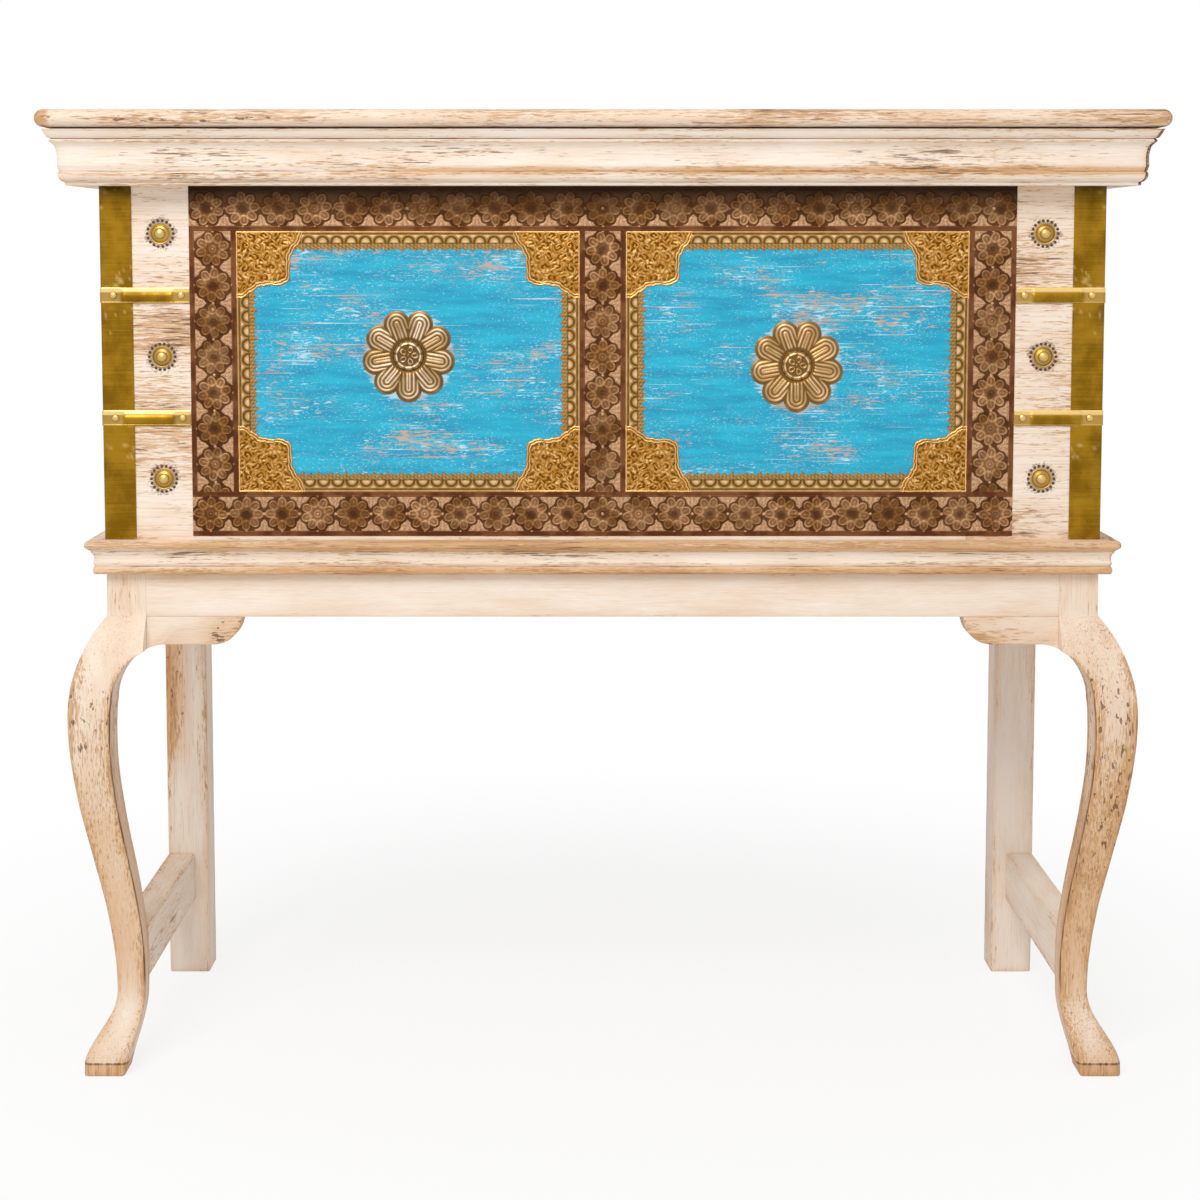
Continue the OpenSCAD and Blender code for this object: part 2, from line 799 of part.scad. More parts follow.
// Nails of the embossed strips, at [x, height above the lower edge of the box]
rail_mid = strip_foot + (rail_h - strip_foot) / 2;
top_mid = (panel_top + cornice_z) / 2 - box_z;
nail_places = concat(
    [for (x = [-1, -0.5, 0, 0.5, 1]) for (h = [rail_mid, top_mid]) [x * (strip_half - strip_w / 2), h]],
    [for (x = [-1, 0, 1]) for (t = [0.3, 0.7]) [x * (strip_half - strip_w / 2), rail_h + t * panel_h]]);

module strip_nail_shank(p, extra) {
    translate([p[0], tack_l, box_z + p[1]]) rotate([90, 0, 0])
        cylinder(r = tack_shank_r + extra, h = tack_l + strip_t);
}

module strip_nails() {
    color(dark_copper) for (p = nail_places) {
        strip_nail_shank(p, 0);
        translate([p[0], -strip_t, box_z + p[1]]) rotate([90, 0, 0]) cylinder(r = tack_r, h = tack_t);
    }
}

module strip(low_x, high_x, low_z, high_z) {
    color(dark_copper) difference() {
        block([low_x, -strip_t, low_z], [high_x, 0, high_z]);
        for (p = nail_places) strip_nail_shank(p, pin_fit);
    }
}

// Gilt edging between the spandrels, four straight runs
module edging(x) {
    color(gilt) translate([x, 0, 0]) {
        for (z = [panel_z, panel_top - edging_w])
            block([-panel_w / 2 + spandrel_w, -gilt_t, z], [panel_w / 2 - spandrel_w, 0, z + edging_w]);
        for (s = [-panel_w / 2, panel_w / 2 - edging_w])
            block([s, -gilt_t, panel_z + spandrel_h], [s + edging_w, 0, panel_top - spandrel_h]);
    }
}

// Stepped outline of a corner spandrel, as shares of its length and height from the panel's corner
module spandrel_plate() {
    linear_extrude(gilt_t)
        polygon([[0, 0], [spandrel_w, 0], [spandrel_w, edging_w], [spandrel_w * 0.83, spandrel_h * 0.5],
            [spandrel_w * 0.83, spandrel_h * 0.76], [spandrel_w * 0.5, spandrel_h * 0.8],
            [edging_w, spandrel_h], [0, spandrel_h]]);
}

module spandrels(x) {
    color(gilt) translate([x, 0, (panel_z + panel_top) / 2])
        for (flip_x = [0, 1]) for (flip_z = [0, 1])
            mirror([flip_x, 0, 0]) mirror([0, 0, flip_z])
                translate([-panel_w / 2, 0, -panel_h / 2]) rotate([90, 0, 0]) spandrel_plate();
}

// Rosette: a plate with nine round petals, one of them straight down, and a domed boss
petals = 9;
petal_steps = 6;
function petal_edge(a) = rosette_r * (0.84 + 0.16 * abs(cos(petals * a / 2)));

module rosette(x, up) {
    turns = [for (i = [1:petals * petal_steps]) i * 360 / (petals * petal_steps)];
    color(gilt) translate([x, 0, (panel_z + panel_top) / 2 + up]) rotate([90, 0, 0]) {
        linear_extrude(rosette_t) polygon([for (a = turns) petal_edge(a) * [sin(a), -cos(a)]]);
        translate([0, 0, rosette_t]) dome(rosette_r * 0.35, rosette_rise);
    }
}

place() left_side() front_leg();  // front_leg_left
place() front_leg();  // front_leg_right
place() left_side() rear_leg_post();  // rear_leg_left
place() rear_leg_post();  // rear_leg_right
place() apron_front();
place() apron_rear();
place() left_side() apron_side();  // apron_left
place() apron_side();  // apron_right
place() left_side() knee_bracket();  // knee_bracket_left
place() knee_bracket();  // knee_bracket_right
place() left_side() stretcher();  // stretcher_left
place() stretcher();  // stretcher_right
place() base_front();  // base_moulding_front
place() left_side() base_side();  // base_moulding_left
place() base_side();  // base_moulding_right
place() base_rear();  // base_rail_rear
place() stand_dowels();
place() bottom_board();
place() left_side() side_board();  // side_board_left
place() side_board();  // side_board_right
place() back_board();
place() left_side() stile();  // stile_left
place() stile();  // stile_right
place() rail(panel_top, box_top);  // rail_top
place() rail(box_z, panel_z);  // rail_bottom
place() muntin();
place() panel(-panel_x);  // panel_left
place() panel(panel_x);  // panel_right
place() cornice_front();
place() left_side() cornice_side();  // cornice_left
place() cornice_side();  // cornice_right
place() left_side() corner_plate();  // corner_plate_left
place() corner_plate();  // corner_plate_right
place() left_side() straps();  // straps_left
place() straps();  // straps_right
place() strap_nails();
place() studs();
place() strip(-strip_half, strip_half, panel_top, cornice_z);  // strip_top
place() strip(-strip_half, strip_half, box_z + strip_foot, panel_z);  // strip_bottom
place() strip(-strip_half, -strip_half + strip_w, panel_z, panel_top);  // strip_left
place() strip(-muntin_w / 2, muntin_w / 2, panel_z, panel_top);  // strip_middle
place() strip(strip_half - strip_w, strip_half, panel_z, panel_top);  // strip_right
place() strip_nails();
place() edging(-panel_x);  // edging_left
place() edging(panel_x);  // edging_right
place() spandrels(-panel_x);  // spandrels_left
place() spandrels(panel_x);  // spandrels_right
place() rosette(-panel_x, rosette_left_up);  // rosette_left
place() rosette(panel_x, rosette_right_up);  // rosette_right
place() hinge_leaves_box();
place() hinge_pins();
place() hinge_screws_box();
place() lid_board();
place() lid_battens();
place() hinge_leaves_lid();
place() hinge_screws_lid();
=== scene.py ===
# %% [markdown]
# # A painted storage chest on a leg stand
#
# The chest is a wide box of mango wood with a lifting lid, set on a moulded stand. The wood is painted
# cream-white and rubbed through, the two panels are turquoise, and sheet metal is nailed over the front.
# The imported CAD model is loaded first. It says where each board is, so every surface below is built on it.

# %% Load the frame and keep its box
import math
import bpy
import numpy as np
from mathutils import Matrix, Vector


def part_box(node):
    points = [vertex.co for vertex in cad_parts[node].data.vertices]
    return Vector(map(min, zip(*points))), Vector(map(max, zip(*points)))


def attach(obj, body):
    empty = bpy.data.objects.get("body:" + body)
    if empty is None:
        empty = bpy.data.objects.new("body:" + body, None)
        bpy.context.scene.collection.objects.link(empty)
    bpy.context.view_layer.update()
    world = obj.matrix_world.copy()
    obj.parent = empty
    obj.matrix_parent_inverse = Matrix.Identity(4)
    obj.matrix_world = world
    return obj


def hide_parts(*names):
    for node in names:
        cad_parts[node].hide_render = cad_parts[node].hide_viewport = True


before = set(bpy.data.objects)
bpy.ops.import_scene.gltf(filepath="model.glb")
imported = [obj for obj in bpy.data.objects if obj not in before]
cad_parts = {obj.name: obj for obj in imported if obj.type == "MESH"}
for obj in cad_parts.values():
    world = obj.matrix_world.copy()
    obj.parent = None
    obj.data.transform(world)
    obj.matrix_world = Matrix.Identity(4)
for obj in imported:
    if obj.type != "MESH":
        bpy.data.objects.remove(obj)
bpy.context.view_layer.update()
MM = 0.001
SIDES = {"left": -1, "right": 1}

# %% [markdown]
# ## Colours and shader nodes
#
# Colours are written as sRGB hex, as a painter's chart gives them, but a render reckons with linear light.
# One function turns the first into the second. Nodes could be set up by hand in the editor, but then no one
# could read how. A second function adds a node and links its inputs, so a material reads as a short list of
# layers, from the wood up to the dirt.

# %% Colour and node helpers


def linear(code):
    """An sRGB hex colour as linear red, green, blue and an alpha of 1. A channel up to 0.04045 is divided
    by 12.92, and above it is (c + 0.055) / 1.055 to the power 2.4."""
    c = np.array([int(code[i:i + 2], 16) / 255 for i in (0, 2, 4)])
    return (*np.where(c <= 0.04045, c / 12.92, ((c + 0.055) / 1.055) ** 2.4).tolist(), 1.0)


def add(tree, kind, *sockets, out=0, named=None, **settings):
    """Adds a shader node. Each socket value is linked if it is another node's output, and set if it is a
    number, vector or colour; None leaves a socket alone. Returns the output asked for."""
    node = tree.nodes.new("ShaderNode" + kind)
    for key, value in settings.items():
        setattr(node, key, value)
    for key, value in [*enumerate(sockets), *(named or {}).items()]:
        if isinstance(value, bpy.types.NodeSocket):
            tree.links.new(value, node.inputs[key])
        elif value is not None:
            node.inputs[key].default_value = value
    return node.outputs[out] if node.outputs else node


def new_finish(name, roughness, metallic=0.0):
    """A material with one principled shader, and the coordinates that its patterns lie on."""
    material = bpy.data.materials.new(name)
    material.use_nodes = True
    tree = material.node_tree
    shader = tree.nodes["Principled BSDF"]
    shader.inputs["Roughness"].default_value = roughness
    shader.inputs["Metallic"].default_value = metallic
    return material, tree, add(tree, "TexCoord", out="Object")


def coated(material, colour, relief=None, strength=0.3, depth=0.4):
    """The material with its colour linked, and its relief as bumps: a height times a depth in millimetres."""
    tree = material.node_tree
    inputs = tree.nodes["Principled BSDF"].inputs
    tree.links.new(colour, inputs["Base Color"])
    if relief is not None:
        bump = add(tree, "Bump", named={"Strength": strength, "Distance": depth * MM, "Height": relief})
        tree.links.new(bump, inputs["Normal"])
    return material


def mottle(tree, place, size, detail=3.0, shift=0.0):
    """Cloudy variation about 0.5, whose patches measure size = (x, y, z) millimetres."""
    spread = add(tree, "Mapping", place, (shift, shift, shift), None, tuple(1 / (MM * s) for s in size))
    return add(tree, "TexNoise", spread, None, 1.0, detail, 0.55)


def grain_size(along, length, width):
    """Patch sizes for wood grain that runs along axis 0, 1 or 2."""
    return tuple(length if axis == along else width for axis in range(3))


SMOOTH = {"interpolation_type": "SMOOTHSTEP"}
print("white as linear light", linear("FFFFFF"))

# %% [markdown]
# ## Distressed white paint
#
# Chalky cream paint lies over mango wood and is sanded back when dry. It goes first from arrises and high
# spots, in streaks along the grain. A photograph of such paint could be wrapped round the boards, but it
# would stretch and repeat, so the material stacks the real layers instead: wood, thin paint where a peach
# ground shows, full paint, and brown dirt that stays in grooves; the same brown is also painted shade in a
# few gaps. The meshes carry four attributes: wear on outer edges, grime in inner ones and in those
# gaps, rub where feet and hands pass, and chip where knocks have broken the paint. The inside was never
# painted, so the paint ends where the cavity's faces begin.

# %% Colours, places and masks of the paint
PAINT = "F6E8D9"
GROUND = "E0B992"
WOOD_LIGHT = "D0A06A"
WOOD_MIDDLE = "B07A47"
WOOD_DARK = "7E4E2B"
DIRT_AND_SHADE = "5E341A"
CAVITY_LOW = (-0.4792, -0.1427, 0.5500)
CAVITY_HIGH = (0.4792, 0.1717, 0.9548)
# Studs stand in three rows on each stile, and a strap halfway between two of them.
STUD_X, ROW_Z, ROW_STEP = 439.6, 729.1, 61.2
# The wood round a stud is scorched out to the first radius and is plain paint again past the second.
SCORCH_FULL, SCORCH_END = 30, 32.5
# Length and width of a patch along the grain. Real pores are 0.2 mm wide, too fine to show here, so they
# are drawn 1.2 mm wide.
STREAK, PORE = (90, 4), (22, 1.2)


def inside_box(tree, place):
    """1 inside the chest's cavity and 0 outside: the product of six steps, one for each wall."""
    axes = add(tree, "SeparateXYZ", place).node.outputs
    mask = 1.0
    for axis in range(3):
        above = add(tree, "Math", axes[axis], CAVITY_LOW[axis], operation="GREATER_THAN")
        below = add(tree, "Math", axes[axis], CAVITY_HIGH[axis], operation="LESS_THAN")
        mask = add(tree, "Math", mask, add(tree, "Math", above, below, operation="MULTIPLY"),
                   operation="MULTIPLY")
    return mask


def weighted(tree, *terms):
    """The sum of each value times its weight; a plain number is added as it is."""
    total = 0.0
    for term in terms:
        if isinstance(term, tuple):
            term = add(tree, "Math", term[0], term[1], operation="MULTIPLY")
        total = add(tree, "Math", total, term, operation="ADD")
    return total


def wood_layers(tree, place, along):
    """Mango wood: a light ground, brown streaks a few millimetres wide, and fine dark pores."""
    streak = mottle(tree, place, grain_size(along, *STREAK), 4.0, 3.1)
    pore = mottle(tree, place, grain_size(along, *PORE), 2.0, 7.7)
    brown, dark = (add(tree, "MapRange", value, *ends, **SMOOTH)
                   for value, ends in ((streak, (0.40, 0.66)), (pore, (0.56, 0.72))))
    base = add(tree, "MixRGB", brown, linear(WOOD_LIGHT), linear(WOOD_MIDDLE))
    return add(tree, "MixRGB", dark, base, linear(WOOD_DARK))


def round_studs(tree, place):
    """1 at the ring of a stud and 0 beyond. The height is folded into one row's share of the stile, so the
    distance in the front's plane is that from the nearest stud; noise makes its edge ragged."""
    axes = add(tree, "SeparateXYZ", place).node.outputs
    out = add(tree, "Math", axes[0], operation="ABSOLUTE")
    beside = add(tree, "Math", out, STUD_X * MM, operation="SUBTRACT")
    up = add(tree, "Math", axes[2], ROW_Z * MM, operation="SUBTRACT")
    above = add(tree, "Math", up, ROW_STEP * MM, -ROW_STEP * MM, operation="WRAP")
    flat = add(tree, "CombineXYZ", beside, 0.0, above)
    far = add(tree, "VectorMath", flat, operation="LENGTH", out="Value")
    far = weighted(tree, far, (mottle(tree, place, (12, 9, 7), 2.0, 17.1), 16 * MM),
                   (mottle(tree, place, (2.6, 2.6, 1.6), 1.0, 18.3), 18 * MM))
    return add(tree, "MapRange", far, SCORCH_END * MM, SCORCH_FULL * MM, **SMOOTH)


print("paint as linear light", [round(c, 3) for c in linear(PAINT)])

# %% White paint


def distressed_paint(name, along, bare=0.0, warm=0.0, crack=0.0, scorched=0.0):
    """White paint over wood whose grain runs along one axis. bare raises the share of bare wood, warm that
    of thin peach paint, crack that of dark splits along the grain, and scorched the burnt marks at studs.
    To the eye it is dull and chalky, warm where it is thin, with brown scratches and worn edges."""
    material, tree, place = new_finish(name, 0.62)
    zone = mottle(tree, place, grain_size(along, 210, 60), 2.0, 15.3)
    patch = mottle(tree, place, grain_size(along, 120, 26), 4.0)
    streak = mottle(tree, place, grain_size(along, 48, 2.2), 5.0, 1.3)
    fine = mottle(tree, place, grain_size(along, 11, 1.1), 2.0, 5.9)
    hairs = mottle(tree, place, grain_size(along, 45, 1.2), 3.0, 22.5)
    split = mottle(tree, place, grain_size(along, 30, 1.7), 3.0, 12.4)
    speck = mottle(tree, place, grain_size(along, 13, 5.5), 3.0, 9.2)
    wear, grime, rub, chip = (add(tree, "Attribute", attribute_name=key, out="Fac")
                              for key in ("wear", "grime", "rub", "chip"))

    # The skin of paint: thin over the peach ground, with hairlines of wood, and gone in places.
    thin = weighted(tree, (patch, 0.45), (zone, 0.2), (streak, 0.15), (fine, 0.2), (wear, 0.13), (rub, 0.42),
                    warm)
    paint = add(tree, "MixRGB", add(tree, "MapRange", thin, 0.44, 0.86), linear(PAINT), linear(GROUND))
    hair = add(tree, "MapRange", weighted(tree, (hairs, 0.8), (zone, 0.3), (rub, 0.12), bare), 0.56, 0.74)
    paint = add(tree, "MixRGB", add(tree, "Math", hair, 0.4, operation="MULTIPLY"), paint, linear(WOOD_LIGHT))
    gone = weighted(tree, (streak, 0.27), (fine, 0.39), (zone, 0.34), (wear, 0.07), (rub, 0.07), (chip, 0.08),
                    bare)
    gone = add(tree, "MapRange", gone, 0.58, 0.625, **SMOOTH)
    gone = add(tree, "Math", gone, 0.75, operation="MULTIPLY")
    gone = add(tree, "Math", gone, inside_box(tree, place), operation="MAXIMUM")
    skin_colour = add(tree, "MixRGB", gone, paint, wood_layers(tree, place, along))

    # Dirt lies in specks, along inner edges and in splits, and is burnt in round the studs; the same brown is
    # painted shade where grime marks a gap, such as the lid's parting line and the open mitre.
    spot = add(tree, "MapRange", weighted(tree, speck, (chip, 0.2)), 0.80, 0.83, **SMOOTH)
    line = add(tree, "MapRange", weighted(tree, (grime, 0.6), (streak, 0.4)), 0.60, 0.90, 0.0, 1.3, **SMOOTH)
    dark = weighted(tree, (split, 0.75), (zone, 0.55), (chip, 0.11), crack)
    dark = add(tree, "MapRange", dark, 0.80, 0.85, **SMOOTH)
    dirt_and_shade = add(tree, "Math", add(tree, "Math", spot, line, operation="MAXIMUM"), dark, operation="MAXIMUM")
    if scorched:
        burnt = add(tree, "Math", round_studs(tree, place), scorched, operation="MULTIPLY")
        dirt_and_shade = add(tree, "Math", dirt_and_shade, burnt, operation="MAXIMUM")
    dirt_and_shade = add(tree, "Math", dirt_and_shade, 0.76, operation="MULTIPLY")
    relief = weighted(tree, (gone, -0.6), (dark, -0.6), (fine, 0.5), (streak, 0.4))
    return coated(material, add(tree, "MixRGB", dirt_and_shade, skin_colour, linear(DIRT_AND_SHADE)), relief, 0.35, 0.5)


paint_x = distressed_paint("distressed_white_paint_on_mango_grain_along_x", 0)
paint_y = distressed_paint("distressed_white_paint_on_mango_grain_along_y", 1)
paint_z = distressed_paint("distressed_white_paint_on_mango_grain_along_z", 2)
paint_front = distressed_paint("distressed_white_paint_on_mango_front_frame", 0, bare=0.075, warm=0.04,
                               crack=0.03, scorched=0.7)
paint_leg = distressed_paint("sanded_white_paint_on_mango_legs", 2, bare=-0.01, warm=0.1, crack=-0.06)
paint_post = distressed_paint("thin_white_paint_on_mango_posts", 2, crack=-0.04)
paint_lid = distressed_paint("distressed_white_paint_on_mango_lid", 0, bare=0.02, warm=0.09, crack=0.01)
paint_clean = distressed_paint("thick_white_paint_on_mango_apron", 0, bare=-0.04, warm=0.06, crack=-0.1)
print("paints:", [m.name for m in (paint_x, paint_y, paint_z, paint_front, paint_leg, paint_lid)])

# %% Bare wood


def bare_mango(name, along):
    """Planed mango wood without paint or varnish: to the eye dull, open-grained and light brown."""
    material, tree, place = new_finish(name, 0.72)
    pore = mottle(tree, place, grain_size(along, *PORE), 2.0, 7.7)
    return coated(material, wood_layers(tree, place, along), pore)


bare_x = bare_mango("planed_mango_wood_grain_along_x", 0)
bare_y = bare_mango("planed_mango_wood_grain_along_y", 1)
print("bare wood:", bare_x.name, bare_y.name)

# %% [markdown]
# ## Turquoise paint
#
# The panels are brushed with one coat of bright turquoise over the pale ground. Sanding along the grain
# breaks it into short level dashes, thickest in a few places, with some long fine scratches. Each dash
# could be painted by hand. Noise stretched along the grain gives dashes of the same size with no work,
# and a second, broad noise gathers them in places, as the sander did.

# %% Turquoise paint
HALO_FAR, HALO_NEAR = 57.5, 54.5


def turquoise_paint():
    """Brushed turquoise, a satin blue that changes a little from stroke to stroke. The pale ground shows
    where the largest of four masks is high: short rubbed dashes, long scored scratches, fine dust, and a
    worn ring round each rosette, by the distance from its middle in the front's plane."""
    material, tree, place = new_finish("turquoise_paint_sanded_to_pale_ground", 0.5)
    zone = mottle(tree, place, (85, 40, 38), 2.0, 2.4)
    dash = mottle(tree, place, (12, 4, 1.9), 4.0, 4.2)
    scratch = mottle(tree, place, (80, 4, 1.2), 2.0, 8.8)
    brush = mottle(tree, place, (60, 20, 9), 8.0, 6.3)
    peach = mottle(tree, place, (26, 4, 16), 2.0, 1.1)
    grit = mottle(tree, place, (2.2, 2.2, 1.2), 2.0, 31.5)
    blue = add(tree, "MixRGB", add(tree, "MapRange", brush, 0.36, 0.64), linear("0293B8"), linear("12B2D0"))
    warmer = add(tree, "MapRange", weighted(tree, (peach, 0.6), (zone, 0.4)), 0.50, 0.56)
    ground = add(tree, "MixRGB", warmer, linear("CBE3EA"), linear("D2A888"))
    rubbed = add(tree, "MapRange", weighted(tree, (dash, 0.85), (zone, 0.55)), 0.80, 0.87, **SMOOTH)
    scored = add(tree, "MapRange", weighted(tree, (scratch, 0.8), (zone, 0.35)), 0.71, 0.75, **SMOOTH)
    dust = add(tree, "MapRange", weighted(tree, (grit, 0.9), (zone, 0.3)), 0.67, 0.86)
    shown = add(tree, "Math", rubbed, scored, operation="MAXIMUM")
    shown = add(tree, "Math", shown, dust, operation="MAXIMUM")
    for side in SIDES:
        middle = tuple(np.mean(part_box("rosette_" + side), axis=0))
        away = add(tree, "VectorMath", place, middle, operation="SUBTRACT")
        flat = add(tree, "VectorMath", away, (1.0, 0.0, 1.0), operation="MULTIPLY")
        far = weighted(tree, add(tree, "VectorMath", flat, operation="LENGTH", out="Value"), (dash, 24 * MM))
        halo = add(tree, "MapRange", far, HALO_FAR * MM, HALO_NEAR * MM, 0.0, 0.8, **SMOOTH)
        shown = add(tree, "Math", shown, halo, operation="MAXIMUM")
    shown = add(tree, "Math", shown, 0.82, operation="MULTIPLY")
    colour, relief = add(tree, "MixRGB", shown, blue, ground), weighted(tree, (shown, -0.6), (dash, 0.5))
    return coated(material, colour, relief)


turquoise = turquoise_paint()
print("panel paint:", turquoise.name)

# %% [markdown]
# ## The metals
#
# Three sheet metals cover the front. The corner plates and straps are brass, rubbed dull and smudged by
# hands. The flower strips are thin copper pressed over a die and darkened with acid, then rubbed so that
# the ridges brighten and the palmettes turn pale. The gilt trimmings are stamped brass foil with brown
# patina left in the hollows. A render can find hollows by itself, but only for its own pictures. So all
# three read an attribute called crest, the height of the relief: the dark stays in the true hollows and
# the shine on the true ridges, from every side and in any light.

# %% Brass


def old_brass_sheet(name, along):
    """Rolled brass gone olive: lines along the rolling direction, and smudges that dull and darken it. The
    real lines are far finer than the render shows, so they are drawn 1.3 mm wide."""
    material, tree, place = new_finish(name, 0.42, 1.0)
    smudge = mottle(tree, place, (26, 26, 34), 4.0, 2.2)
    line = mottle(tree, place, grain_size(along, 70, 1.3), 2.0, 4.4)
    crest, soot = (add(tree, "Attribute", attribute_name=key, out="Fac") for key in ("crest", "soot"))
    dull = add(tree, "MapRange", weighted(tree, (smudge, 0.75), (line, 0.25)), 0.36, 0.64, **SMOOTH)
    sheet = add(tree, "MixRGB", dull, linear("7C5A12"), linear("A67C20"))
    bright = add(tree, "MixRGB", crest, sheet, linear("EBC983"))
    tree.links.new(add(tree, "MapRange", smudge, 0.35, 0.65, 0.52, 0.34),
                   tree.nodes["Principled BSDF"].inputs["Roughness"])
    # Near the cornice this mixes in near-black brown: soot, and painted shade where the cornice overhangs.
    return coated(material, add(tree, "MixRGB", soot, bright, linear("2E2208")),
                  weighted(tree, (line, 0.6), (smudge, 0.6)), 0.25, 0.3)


brass_plate = old_brass_sheet("rolled_brass_rubbed_dull", 0)
brass_worn = old_brass_sheet("worn_brass_fittings", 1)
print("brass:", brass_plate.name, brass_worn.name)

# %% Copper and gilt


def embossed_copper():
    """Acid-darkened copper: brown hollows, ridges worn bright and pale rubbed palmettes. Soot and painted
    shade from the cornice darken its top. The grit of the etched sheet is drawn 1.8 mm wide, since the real
    one is too fine to show."""
    material, tree, place = new_finish("acid_darkened_embossed_copper", 0.5, 0.85)
    cloud = mottle(tree, place, (24, 24, 24), 3.0, 3.3)
    grit = mottle(tree, place, (1.8, 1.8, 1.8), 2.0, 1.7)
    crest, pale, band, soot = (add(tree, "Attribute", attribute_name=key, out="Fac")
                               for key in ("crest", "pale", "band", "soot"))
    tarnish = add(tree, "MapRange", cloud, 0.40, 0.60, **SMOOTH)
    hollow, ridges, edge = (add(tree, "MixRGB", tarnish, linear(dark), linear(light)) for dark, light in
                            (("4A280E", "5C381C"), ("A06E3A", "CC9C6C"), ("5C3016", "7C4C2C")))
    level = add(tree, "MapRange", weighted(tree, (crest, 0.9), (grit, 0.25)), 0.12, 0.95)
    metal = add(tree, "MixRGB", level, hollow, ridges)
    rubbed = add(tree, "MixRGB", add(tree, "MapRange", grit, 0.4, 0.62), linear("DEB28C"), linear("B4885F"))
    metal = add(tree, "MixRGB", pale, metal, rubbed)
    metal = add(tree, "MixRGB", band, metal, edge)
    # Near the cornice this mixes in near-black brown: soot, and painted shade where the cornice overhangs.
    return coated(material, add(tree, "MixRGB", soot, metal, linear("231609")), grit, 0.3, 0.3)


def stamped_gilt(name, hollow, body, crown):
    """Gilt foil: to the eye dark patina low down, gold on the slopes and pale gold on the crests, by the
    relief's height with a little cloud in it."""
    material, tree, place = new_finish(name, 0.4, 0.9)
    cloud = mottle(tree, place, (9, 9, 9), 3.0, 5.1)
    level = weighted(tree, (add(tree, "Attribute", attribute_name="crest", out="Fac"), 0.85), (cloud, 0.3))
    slope, top = (add(tree, "MapRange", level, *ends, **SMOOTH) for ends in ((0.22, 0.55), (0.62, 0.95)))
    low = add(tree, "MixRGB", slope, linear(hollow), linear(body))
    return coated(material, add(tree, "MixRGB", top, low, linear(crown)), cloud, 0.3, 0.3)


copper = embossed_copper()
gilt = stamped_gilt("stamped_gilt_brass_foil", "6A4008", "AC762A", "F0C88A")
edging_gilt = stamped_gilt("stamped_gilt_edging_with_brown_patina", "664A1C", "A98048", "E6C294")
rosette_pale = stamped_gilt("stamped_gilt_rosette_rubbed_pale", "6E5026", "AE8E64", "F8E4D0")
rosette_brown = stamped_gilt("stamped_gilt_rosette_with_brown_patina", "76562A", "B08A58", "EAC8A0")
print("pressed metals:", [m.name for m in (copper, gilt, edging_gilt, rosette_pale, rosette_brown)])

# %% [markdown]
# ## From points to pieces
#
# Shapes could be built by hand with editing tools, but here each is a list of points worked out by formula,
# which keeps it exact and easy to change. They are worked out in millimetres, as the maker would mark
# them, and turned to metres when the mesh is made. A closed shape has a signed volume, which is below zero
# when its faces point inwards, so one test turns every piece the right way out.

# %% From points to a piece
FRONT, BACK, HALF_W = -164.5, 189.5, 499.0
CREASE = math.radians(38)


def skin(name, points, quads, caps, finish, slot, nodes=(), body="chest", **tones):
    """Makes an object from points in millimetres, four-sided faces and end caps, with named attributes. Its
    volume has the sign of the sum of a . (b x c) over all triangles, which tells which way they face."""
    points = np.asarray(points, float).reshape(-1, 3) * MM
    quads = np.asarray(quads).reshape(-1, 4)
    fans = [[cap[0], cap[i], cap[i + 1]] for cap in caps for i in range(1, len(cap) - 1)]
    triangles = np.concatenate([quads[:, [0, 1, 2]], quads[:, [0, 2, 3]], np.array(fans, int).reshape(-1, 3)])
    a, b, c = points[triangles].transpose(1, 0, 2)
    if np.sum(a * np.cross(b, c)) < 0:
        quads, caps = quads[:, ::-1], [cap[::-1] for cap in caps]
    mesh = bpy.data.meshes.new(name)
    mesh.from_pydata(points.tolist(), [], quads.tolist() + [list(map(int, cap)) for cap in caps])
    mesh.shade_smooth()
    mesh.set_sharp_from_angle(angle=CREASE)
    for key, values in tones.items():
        layer = mesh.attributes.new(key, "FLOAT", "POINT")
        layer.data.foreach_set("value", np.clip(values, 0, 1).astype(np.float32).ravel())
    mesh.materials.append(finish)
    piece = bpy.data.objects.new(name, mesh)
    bpy.context.scene.collection.objects.link(piece)
    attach(piece, body)
    if nodes:
        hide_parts(*nodes)
    print(f"{name}: {len(points)} points, {len(quads) + len(caps)} faces")
    return piece


def tube_faces(stations, around):
    """Quads between neighbouring rings, and one cap across each end ring. Point j of ring i has the number
    i times the points around, plus j."""
    ring, step = np.meshgrid(np.arange(stations - 1), np.arange(around), indexing="ij")
    a, b = ring * around + step, ring * around + (step + 1) % around
    quads = np.stack([a, b, b + around, a + around], -1).reshape(-1, 4)
    last = (stations - 1) * around
    return quads, [list(range(around))[::-1], list(range(last, last + around))]


def at(x, y, z):
    """Points from three coordinates, each spread over the grid that they make together."""
    return np.stack(np.broadcast_arrays(x, y, z), -1)


def painted(name, node, points, finish, body="chest", **tones):
    """A painted piece in its node's place, from rings of points set one after another."""
    quads, caps = tube_faces(*points.shape[:2])
    tones = {key: np.broadcast_to(tone, points.shape[:2]) for key, tone in tones.items()}
    return skin(name, points, quads, caps, finish, "white_painted_wood", [node], body, **tones)


print("a tube of 3 rings of 4 points has", len(tube_faces(3, 4)[0]), "quads")

# %% Curves that shapes are made of


